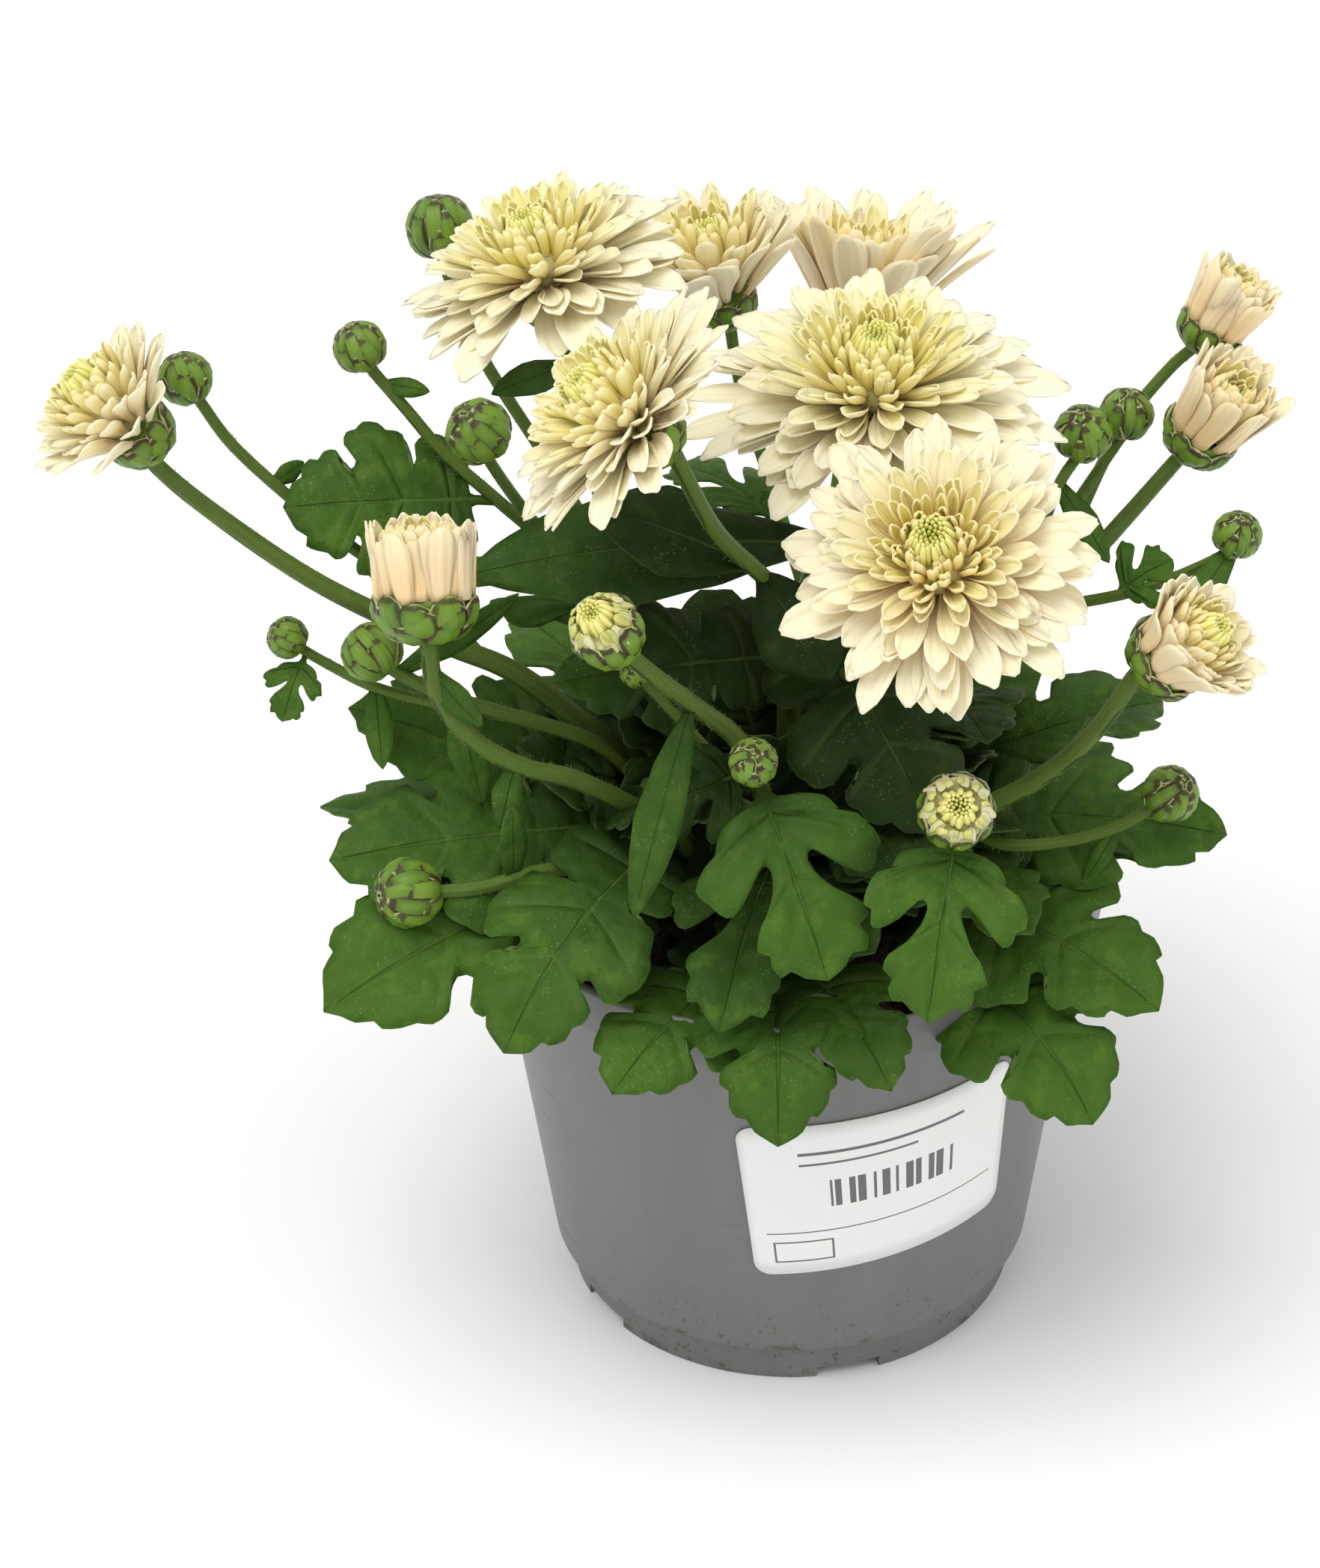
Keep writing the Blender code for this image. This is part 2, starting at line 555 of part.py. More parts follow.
def leaf(base, tip, rise, bend, face, width, outline, collection):
    """One thin arched blade from its base on a stalk to its tip, with lobes cut into its outline."""
    chord = tip - base
    normal = (face - chord * (face.dot(chord) / chord.length_squared)).normalized()
    crest = base + chord * bend + normal * rise
    half = LEAF_OUTLINES[outline]
    shape = bmesh.new()

    def at(along, across):
        share = min(along, 1.0)
        point = base * (1 - share) ** 2 + crest * (2 * share * (1 - share)) + tip * share**2
        tangent = ((crest - base) * (1 - share) + (tip - crest) * share).normalized()
        side = tangent.cross(normal).normalized()
        lift = side.cross(tangent) * abs(across) * math.sin(math.radians(LEAF_FOLD))
        return shape.verts.new(point + side * across + lift)

    last = len(half) - 1
    ribs = [at(max(half[i][0] * 0.5 + 0.5 * i / last, half[i][0] - 0.12), 0.0) for i in range(last + 1)]
    for sign in (-1, 1):
        edge = [at(along, sign * share * width / 2) for along, share in half[:-1]] + [ribs[-1]]
        for i in range(last):
            shape.faces.new((ribs[i], ribs[i + 1], edge[i]))
            if i < last - 1:
                shape.faces.new((ribs[i + 1], edge[i + 1], edge[i]))
    bmesh.ops.recalc_face_normals(shape, faces=shape.faces)
    thicken(object_from(shape, "leaf", collection), LEAF_THICKNESS)


def petal(frame, turn, root, length, rises, width, rows, collection):
    """A narrow arched blade from its root on the head's core, given by radius and height."""
    shape = bmesh.new()
    bmesh.ops.create_grid(shape, x_segments=1, y_segments=len(rows) - 1, size=0.5)
    radius, height = root
    spine = []
    for index, (share, _) in enumerate(rows):
        if index:
            step = (share - rows[index - 1][0]) * length
            rise = math.radians(mix(*rises, (share + rows[index - 1][0]) / 2))
            radius += step * math.cos(rise)
            height += step * math.sin(rise)
        spine.append((radius, height))
    for vertex in shape.verts:
        index = round((vertex.co.y + 0.5) * (len(rows) - 1))
        across = vertex.co.x * width * rows[index][1]
        arm = Vector((spine[index][0], across, spine[index][1]))
        vertex.co = frame @ Matrix.Rotation(turn, 4, "Z") @ arm
    thicken(object_from(shape, "petal", collection), PETAL_THICKNESS)


def ball(name, frame, radius, height, collection, ripple=0.0, flat_top=False):
    """A ball whose surface ripples like overlapping bracts; a flat top makes a cup of its lower half."""
    shape = bmesh.new()
    bmesh.ops.create_uvsphere(shape, u_segments=BALL_SIDES, v_segments=BALL_RINGS, radius=1.0)
    if flat_top:
        bmesh.ops.delete(shape, geom=[v for v in shape.verts if v.co.z > 0.1], context="VERTS")
        bmesh.ops.holes_fill(shape, edges=[e for e in shape.edges if e.is_boundary])
    for vertex in shape.verts:
        x, y, z = vertex.co
        row = round(math.acos(max(-1.0, min(1.0, z))) / math.pi * BALL_RINGS)
        column = round((math.atan2(y, x) % math.tau) / math.tau * BALL_SIDES)
        swell = 1.0 + ripple * (1 if (row + column) % 2 else -1) * (0 < row < BALL_RINGS)
        vertex.co = frame @ Vector((x * radius * swell, y * radius * swell, z * height))
    object_from(shape, name, collection)


def part_sheets(shape):
    """Where two sheets of triangles share one edge, the first sheet gets a vertex in place of that edge."""
    while shared := [e for e in shape.edges if len(e.link_faces) > 2]:
        edge = shared[0]
        first, *rest = edge.link_faces
        mate = max(rest, key=lambda face: face.normal.dot(first.normal))
        a, b = edge.verts
        c, d = (next(v for v in face.verts if v not in edge.verts) for face in (first, mate))
        middle = shape.verts.new((a.co + b.co + c.co + d.co) / 4)
        bmesh.ops.delete(shape, geom=[first, mate], context="FACES_ONLY")
        for pair in ((a, c), (c, b), (b, d), (d, a)):
            shape.faces.new((*pair, middle))
    bmesh.ops.recalc_face_normals(shape, faces=shape.faces)


def largest_shell(mesh):
    """Keeps the biggest closed shell: loose scraps go, and a hollow that fusing sealed is filled."""
    shape = bmesh.new()
    shape.from_mesh(mesh)
    unseen = set(shape.faces)
    shells = []
    while unseen:
        front = [unseen.pop()]
        shell = list(front)
        while front:
            for edge in front.pop().edges:
                for face in edge.link_faces:
                    if face in unseen:
                        unseen.remove(face)
                        front.append(face)
                        shell.append(face)
        shells.append(shell)
    shells.sort(key=len)
    loose = [face for shell in shells[:-1] for face in shell]
    bmesh.ops.delete(shape, geom=loose, context="FACES")
    edges, verts = list(shape.edges), list(shape.verts)
    bmesh.ops.dissolve_limit(shape, angle_limit=FLAT_ANGLE, edges=edges, verts=verts)
    bmesh.ops.triangulate(shape, faces=shape.faces)
    part_sheets(shape)
    shape.to_mesh(mesh)
    shape.free()


def fused(name, pieces, parts, coat):
    """One body from all objects of a collection, which are then removed."""
    body, *others = list(pieces.objects)
    pieces.objects.unlink(body)
    body.data = evaluated_copy(body)
    body.modifiers.clear()
    parts.objects.link(body)
    body.name = name
    join = body.modifiers.new("fuse", "BOOLEAN")
    join.operation = "UNION"
    join.solver = "MANIFOLD"
    join.operand_type = "COLLECTION"
    join.collection = pieces
    body.data = evaluated_copy(body)
    body.modifiers.clear()
    drop(others)
    bpy.data.collections.remove(pieces)
    largest_shell(body.data)
    body.data.materials.clear()
    body.data.materials.append(coat)
    return body


def build_head(name, parts, guides, coat):
    """A flower head: petals in a golden-angle spiral, from spread outer ones to upright inner ones."""
    _, _, (cup_radius, _), reach, count, width, rises = HEADS[name]
    frame = head_frame(name)
    pieces = bpy.data.collections.new(name + "_pieces")
    guides.children.link(pieces)
    core_radius = cup_radius * CORE_SHARE
    core_height = min(core_radius, reach * CORE_HEIGHT_SHARE)
    middle = Matrix.Translation((0.0, 0.0, core_height + GAP))
    ball("core", frame @ middle, core_radius, core_height, pieces)
    draw = random.Random(SEED + len(name))
    upright = rises[0] > UPRIGHT_FROM
    radii, heights = UPRIGHT_ROOTS if upright else SPREAD_ROOTS
    for index in range(count):
        share = index / (count - 1)
        turn = index * GOLDEN_ANGLE + draw.uniform(-0.06, 0.06)
        root = (core_radius * mix(*radii, share), GAP + core_height * mix(*heights, share))
        if upright:
            length = reach * mix(1.1, 0.9, share)
        else:
            length = (reach - root[0]) * mix(1.0, INNER_LENGTH, share)
        length *= draw.uniform(0.95, 1.05)
        bent = share**RISE_POWER
        tilts = (mix(rises[0], rises[2], bent), mix(rises[1], rises[3], bent))
        rows = PETAL_ROWS if share < 0.4 and reach > 22 else SHORT_PETAL_ROWS
        petal(frame, turn, root, length, tilts, width * mix(1.0, INNER_WIDTH, share), rows, pieces)
    return fused(name, pieces, parts, coat)


def build_stem(name, parts, guides, coat):
    """A leafy stem: its stalks, green cups, closed buds and leaves as one body."""
    stem = STEMS[name]
    pieces = bpy.data.collections.new(name + "_pieces")
    guides.children.link(pieces)
    stem_foot(stem, pieces)
    routes = [stalk_route(name, index) for index in range(len(stem["stalks"]))]
    for route, (start_radius, end_radius, _) in zip(routes, stem["stalks"]):
        tube(route, start_radius, end_radius, pieces)
    for head in CARRIES[name]:
        cup_radius, cup_depth = HEADS[head][2]
        ball("cup", head_frame(head), cup_radius, cup_depth, pieces, BRACT_RIPPLE, flat_top=True)
    for centre, facing, radius in stem["buds"]:
        frame = facing_matrix(placed(*centre), placed(*facing))
        ball("bud", frame, radius, radius * 0.94, pieces, BRACT_RIPPLE)
    draw = random.Random(SEED)
    for stalk, share, tip, rise, bend, face, width, outline in stem["leaves"]:
        base = spline(routes[stalk], share)
        arch = rise + draw.uniform(-LEAF_SWAY, LEAF_SWAY)
        leaf(base, placed(*tip), arch, bend, placed(*face), width, outline, pieces)
    return fused(name, pieces, parts, coat)


def main():
    for old in list(bpy.data.objects):
        bpy.data.objects.remove(old, do_unlink=True)
    scene = bpy.context.scene
    parts = bpy.data.collections.new("pot_chrysanthemum")
    guides = bpy.data.collections.new("cutters")
    scene.collection.children.link(parts)
    scene.collection.children.link(guides)
    build_pot(parts, guides)
    build_soil(parts, guides)
    build_label(parts)
    green = material("leaf_green", (0.06, 0.15, 0.03), 0.55)
    cream = material("petal_cream", (0.9, 0.82, 0.6), 0.6)
    for name in STEMS:
        build_stem(name, parts, guides, green)
    for name in HEADS:
        build_head(name, parts, guides, cream)


main()
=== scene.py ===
"""Pot chrysanthemum: the visible flowers, leaves, stalks, buds, soil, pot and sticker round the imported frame.

Shapes are worked out in millimetres, in a layout seen from the plant's best side: to the right, to the back
and up, as in the part's source. FRONT_TURN turns that layout about the pot's axis, and every piece ends in
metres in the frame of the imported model.
"""

import random
from math import atan2, copysign, cos, hypot, inf, pi, radians, sin, sqrt, tau

import bmesh
import bpy
from mathutils import Matrix, Vector, noise


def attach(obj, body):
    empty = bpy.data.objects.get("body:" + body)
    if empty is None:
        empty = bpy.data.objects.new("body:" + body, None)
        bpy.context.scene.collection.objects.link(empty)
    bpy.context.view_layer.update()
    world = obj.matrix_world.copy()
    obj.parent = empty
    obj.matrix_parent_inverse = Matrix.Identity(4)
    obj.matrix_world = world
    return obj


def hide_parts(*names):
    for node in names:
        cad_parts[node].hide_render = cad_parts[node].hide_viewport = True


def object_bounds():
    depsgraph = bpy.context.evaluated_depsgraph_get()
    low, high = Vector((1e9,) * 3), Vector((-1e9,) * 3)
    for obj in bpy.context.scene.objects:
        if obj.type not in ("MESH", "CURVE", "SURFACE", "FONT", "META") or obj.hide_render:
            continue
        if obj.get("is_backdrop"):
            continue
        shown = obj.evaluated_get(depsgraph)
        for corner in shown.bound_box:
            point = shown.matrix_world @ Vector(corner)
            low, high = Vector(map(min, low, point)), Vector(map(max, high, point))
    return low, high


bl_info = {
    "name": "Pot chrysanthemum",
    "version": (1, 0, 0),
    "blender": (4, 5, 0),
    "location": "3D View > Sidebar > Plant",
    "description": "Flowers, foliage, pot and stage of a pot chrysanthemum",
    "category": "Add Mesh",
}

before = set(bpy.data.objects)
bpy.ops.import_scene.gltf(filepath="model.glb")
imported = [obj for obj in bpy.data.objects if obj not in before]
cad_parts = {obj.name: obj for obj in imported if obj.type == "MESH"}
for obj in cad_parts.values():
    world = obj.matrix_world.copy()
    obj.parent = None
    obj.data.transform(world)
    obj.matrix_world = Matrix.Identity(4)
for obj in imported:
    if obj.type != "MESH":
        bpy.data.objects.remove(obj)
CAD_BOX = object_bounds()

MM = 0.001
FRONT_TURN = radians(40.0)
GOLDEN_ANGLE = radians(137.508)
SEED = 7

# Pot, soil and sticker, in millimetres and degrees, as in the part's source
RIM_RADIUS = 52.5
POT_HEIGHT = 84.0
BAND_HEIGHT = 8.6
BAND_STEP = 2.4
WALL = 1.2
WALL_FOOT_RADIUS = 41.2
FOOT_HEIGHT = 8.0
FOOT_RADIUS = 38.4
FOOT_RING_WIDTH = 3.0
FLOOR_UNDERSIDE = 3.5
FLOOR_THICKNESS = 1.5
NOTCHES = 5
NOTCH_SIZE = (8.0, 11.0, 4.4)
NOTCH_START = 27.0
DRAIN_HOLES = 6
DRAIN_RADIUS = 3.6
DRAIN_CIRCLE = 25.0
SOIL_EDGE = 73.5
SOIL_CROWN = 77.5
LABEL_WIDTH = 47.0
LABEL_HEIGHT = 34.0
LABEL_CENTRE = -72.0
LABEL_MIDDLE = 46.0
LABEL_TILT = 4.5
LABEL_CORNER = 3.0

# Finer forms of them: the sticker's distance from the wall and its mesh, the bevel on the pot's edges that
# turn by more than EDGE_ANGLE and lie outside its floor, the angle over which an edge is shaded sharp, and
# the soil's mesh and crumbs
LABEL_RADIUS_GAP = 0.3
LABEL_COLUMNS = 28
LABEL_ROWS = 10
EDGE_BEVEL = 0.22
EDGE_ANGLE = 18
SHARP_ANGLE = 40
FLOOR_ZONE = 30
SOIL_STEPS = 72
CRUMBS = 420

# How deep in the soil a stem begins, then the leaves low inside each stem: their number, and the heights
# between which their tips lie
ROOT_DEPTH = 4
INNER_LEAVES = 4
INNER_LEVELS = (94, 122)

# Heads: shares of the solid's cup that the heart under the petals and the green cup fill, the heart's height
# as a share of the petals' reach, the clearance between parts that stand in one another, and the rise in
# degrees over which the petals of a head stand up like a brush
HEART_SHARE = 0.86
CUP_SHARE = 0.88
HEART_HEIGHT_SHARE = 0.45
CLEARANCE = 0.4
BRUSH_RISE = 60

# Scales of a green cup and of a closed bud, row by row from the stalk: their number, the angles on the egg
# between which they lie, in degrees from its foot, and half their width, in radians. Then a bud's size as a
# share of the solid's, and the level over its frame at which the core of a cup is cut
CUP_ROWS = ((6, 12, 60, 0.46), (7, 30, 84, 0.44), (9, 44, 96, 0.4))
OPENING_CUP_ROWS = (*CUP_ROWS[:2], (9, 44, 110, 0.4))
BUD_ROWS = ((5, 10, 96, 0.42), (6, 24, 132, 0.44), (6, 44, 156, 0.42), (5, 70, 174, 0.36))
BUD_SHARE = 0.86
CUP_RIM = 0.3

# Ridges under the leaves: the shares of the blade that they run through, and how far under it they lie. Then
# the radius of the stalks' hairs
RIDGE_SHARES = (0.0, 0.12, 0.3, 0.5, 0.7, 0.88)
RIDGE_DEPTH = 0.35
HAIR_RADIUS = 0.05

# Width over which a leaf has ridges and the finer mesh, width up to which it is young and smooth, and
# distances from the pot's axis between which leaves turn from old to young green: the darker old green of
# leaves near the axis is painted shade of the plant's inside
SMALL_LEAF = 9
YOUNG_LEAF = 12
SHADED_TO_LIT_REACH = (10, 75)

# How far a petal is rolled at its claw, in radians, and in how many steps its spine is laid
CLAW_ROLL = 1.9
SPINE_STEPS = 10

# Distance under which points of a shape are merged, and share of a curve over which its direction is taken
MERGE = 0.001
NEARBY = 0.01

# Camera: millimetres of lens and sensor, metres to the point it aims at, and degrees of rise and roll
CAMERA_LENS = 112.12
CAMERA_SENSOR = 36.0
CAMERA_DISTANCE = 0.808
CAMERA_RISE = 33.88
CAMERA_ROLL = -1.17
CAMERA_AIM = (-0.0214, 0.0, 0.0964)

# Lights: way they shine, angle across in degrees, and strength as a share of the main light's
LIGHTS = {
    "key_light": ((0.3, 0.25, -1.0), 45.0, 1.0),
    "side_light": ((-0.9, 0.4, -0.5), 60.0, 0.2),
}

# Outlines of half a leaf, from its base to its tip. Each point has its place across and along, the place on
# the midrib that its row of the blade starts from, and how strong a vein runs along that row
LEAF_OUTLINES = {
    "lobed": (
        (0.05, 0.0, 0.0, 0), (0.06, 0.07, 0.07, 0), (0.1, 0.13, 0.12, 0), (0.34, 0.125, 0.15, 0),
        (0.5, 0.115, 0.17, 0), (0.62, 0.15, 0.185, 0.4), (0.63, 0.185, 0.2, 0), (0.76, 0.195, 0.21, 0),
        (0.84, 0.25, 0.225, 1), (0.79, 0.285, 0.24, 0), (0.8, 0.33, 0.255, 0.4), (0.7, 0.365, 0.27, 0),
        (0.5, 0.375, 0.3, 0), (0.44, 0.4, 0.34, 0), (0.6, 0.415, 0.37, 0), (0.82, 0.42, 0.385, 0.4),
        (0.91, 0.47, 0.4, 0), (0.89, 0.5, 0.415, 0), (1.0, 0.535, 0.43, 0), (1.0, 0.6, 0.445, 1),
        (0.92, 0.635, 0.46, 0), (0.88, 0.68, 0.475, 0.4), (0.74, 0.695, 0.5, 0), (0.5, 0.655, 0.54, 0),
        (0.43, 0.68, 0.58, 0), (0.52, 0.715, 0.61, 0), (0.66, 0.74, 0.63, 0.4), (0.68, 0.79, 0.65, 0.8),
        (0.6, 0.82, 0.68, 0), (0.58, 0.865, 0.71, 0.4), (0.47, 0.905, 0.75, 0), (0.37, 0.905, 0.79, 0),
        (0.29, 0.95, 0.85, 0.3), (0.15, 0.975, 0.92, 0), (0.0, 1.0, 1.0, 1),
    ),
    "cut": (
        (0.05, 0.0, 0.0, 0), (0.06, 0.09, 0.08, 0), (0.12, 0.16, 0.15, 0), (0.36, 0.2, 0.19, 0),
        (0.56, 0.24, 0.2, 0.3), (0.66, 0.3, 0.21, 0), (0.68, 0.34, 0.217, 0), (0.84, 0.37, 0.224, 0),
        (0.97, 0.45, 0.23, 1), (0.98, 0.52, 0.238, 0), (0.88, 0.545, 0.25, 0), (0.86, 0.6, 0.26, 0.4),
        (0.72, 0.625, 0.275, 0), (0.52, 0.56, 0.3, 0), (0.34, 0.48, 0.34, 0), (0.24, 0.46, 0.39, 0),
        (0.2, 0.5, 0.44, 0), (0.27, 0.58, 0.49, 0), (0.42, 0.67, 0.53, 0), (0.56, 0.73, 0.55, 0.5),
        (0.6, 0.79, 0.58, 0), (0.5, 0.825, 0.61, 0), (0.52, 0.87, 0.64, 0), (0.46, 0.925, 0.68, 0.5),
        (0.33, 0.915, 0.73, 0), (0.22, 0.955, 0.8, 0), (0.1, 0.98, 0.9, 0), (0.0, 1.0, 1.0, 1),
    ),
    "plain": (
        (0.16, 0.0, 0.0, 0), (0.3, 0.08, 0.06, 0), (0.55, 0.2, 0.15, 0.3), (0.8, 0.33, 0.24, 0),
        (0.87, 0.4, 0.3, 0.5), (0.98, 0.52, 0.38, 0), (1.0, 0.6, 0.46, 0.5), (0.93, 0.66, 0.52, 0),
        (0.82, 0.75, 0.6, 0.4), (0.64, 0.83, 0.7, 0), (0.45, 0.905, 0.8, 0.3), (0.2, 0.965, 0.92, 0),
        (0.0, 1.0, 1.0, 1),
    ),
    "bract": (
        (0.4, 0.0, 0.0, 0), (0.62, 0.15, 0.12, 0), (0.92, 0.35, 0.3, 0.3), (1.0, 0.5, 0.45, 0),
        (0.84, 0.68, 0.62, 0), (0.55, 0.85, 0.8, 0.3), (0.24, 0.95, 0.93, 0), (0.0, 1.0, 1.0, 1),
    ),
}

# Flower heads, as in the part's source: foot of the green cup, way it faces, cup's radius and depth, petals'
# reach, and the angle at which they rise, for the outer ones at root and tip, then for the inner ones
HEADS = {
    "bloom_back_left": ((-36, 30, 168), (-0.28, -0.05, 0.96), (6.5, 5.5), 27.5, (14, -16, 78, 104)),
    "bloom_centre_left": ((-19, -23, 173), (-0.69, -0.1, 0.72), (6.5, 5.5), 25.5, (22, -6, 78, 104)),
    "bloom_centre": ((14, 9, 156), (0.0, -0.19, 0.97), (7.5, 6.0), 33, (12, -18, 78, 106)),
    "bloom_front": ((23, -33, 153), (-0.15, -0.54, 0.82), (7.0, 6.0), 27, (16, -16, 78, 106)),
    "bloom_back_right": ((14, 74, 133), (0.12, 0.25, 0.95), (6.5, 6.0), 29, (46, 28, 76, 92)),
    "bloom_back": ((-8, 60, 150), (-0.2, 0.0, 0.97), (6.0, 5.5), 13, (60, 48, 76, 92)),
    "bloom_far_left": ((-99, -2, 163), (-0.64, -0.11, 0.76), (6.2, 6.0), 17.5, (42, 22, 78, 98)),
    "head_left": ((-57, -28, 141), (-0.03, 0.4, 0.91), (8.8, 8.5), 6.6, (76, 80, 88, 92)),
    "head_right_back": ((70, 51, 147), (0.5, 0.1, 0.85), (6.2, 6.0), 6.4, (66, 70, 84, 92)),
    "head_right": ((67, 39, 134), (0.5, -0.15, 0.85), (7.0, 7.0), 9.4, (62, 58, 84, 98)),
    "head_front_right": ((53, -34, 138), (0.67, -0.31, 0.67), (7.2, 7.0), 15.5, (56, 36, 80, 98)),
    "opening_bud_left": ((-27, -41, 149), (-0.35, -0.45, 0.82), (5.9, 7.0), 3.4, (90, 120, 96, 120)),
    "opening_bud_right": ((24, -47, 121), (0.0, -0.75, 0.65), (6.2, 7.0), 3.4, (90, 120, 96, 120)),
}

# What each head's finer petals are like: their number, their reach as a share of the solid's, width of the
# outer and the inner ones, length of the inner ones as a share, how pink and how green they are, the number
# and spread of the eye's tiny florets, and how many degrees steeper than the solid's petals they stand
FLORETS = {
    "bloom_back_left": (165, 1.0, 6.4, 2.2, 0.24, 0.35, 0.0, 42, 3.2, 0),
    "bloom_centre_left": (165, 1.0, 6.0, 2.2, 0.24, 0.35, 0.0, 42, 3.2, 0),
    "bloom_centre": (230, 1.0, 6.8, 2.3, 0.2, 0.3, 0.0, 55, 3.7, 0),
    "bloom_front": (180, 1.03, 6.4, 2.2, 0.2, 0.9, 0.0, 50, 3.5, 0),
    "bloom_back_right": (110, 1.2, 7.4, 2.6, 0.3, 0.9, 0.0, 40, 3.2, 16),
    "bloom_back": (80, 1.75, 6.4, 2.4, 0.4, 0.6, 0.0, 36, 3.0, -10),
    "bloom_far_left": (95, 1.05, 5.2, 2.2, 0.35, 0.5, 0.0, 36, 3.0, 0),
    "head_left": (84, 1.6, 5.0, 2.8, 0.8, 1.0, 0.0, 0, 0.0, 4),
    "head_right_back": (70, 1.5, 4.8, 2.6, 0.75, 1.0, 0.0, 0, 0.0, 10),
    "head_right": (76, 1.25, 4.8, 2.2, 0.7, 1.0, 0.0, 20, 2.6, 17),
    "head_front_right": (90, 1.1, 5.0, 2.0, 0.4, 0.9, 0.0, 36, 2.8, 14),
    "opening_bud_left": (30, 1.0, 2.0, 1.7, 0.8, 0.0, 0.6, 40, 2.8, 22),
    "opening_bud_right": (30, 1.0, 2.0, 1.7, 0.8, 0.0, 0.45, 40, 2.8, 22),
}
BLOOMS = [name for name in HEADS if name.startswith("bloom")]
SMALL_HEADS = [name for name in HEADS if name not in BLOOMS]

UP = (0, 0, 1)
LEAN = (0, -1, 2)
TOWARDS = (0, -1, 1)

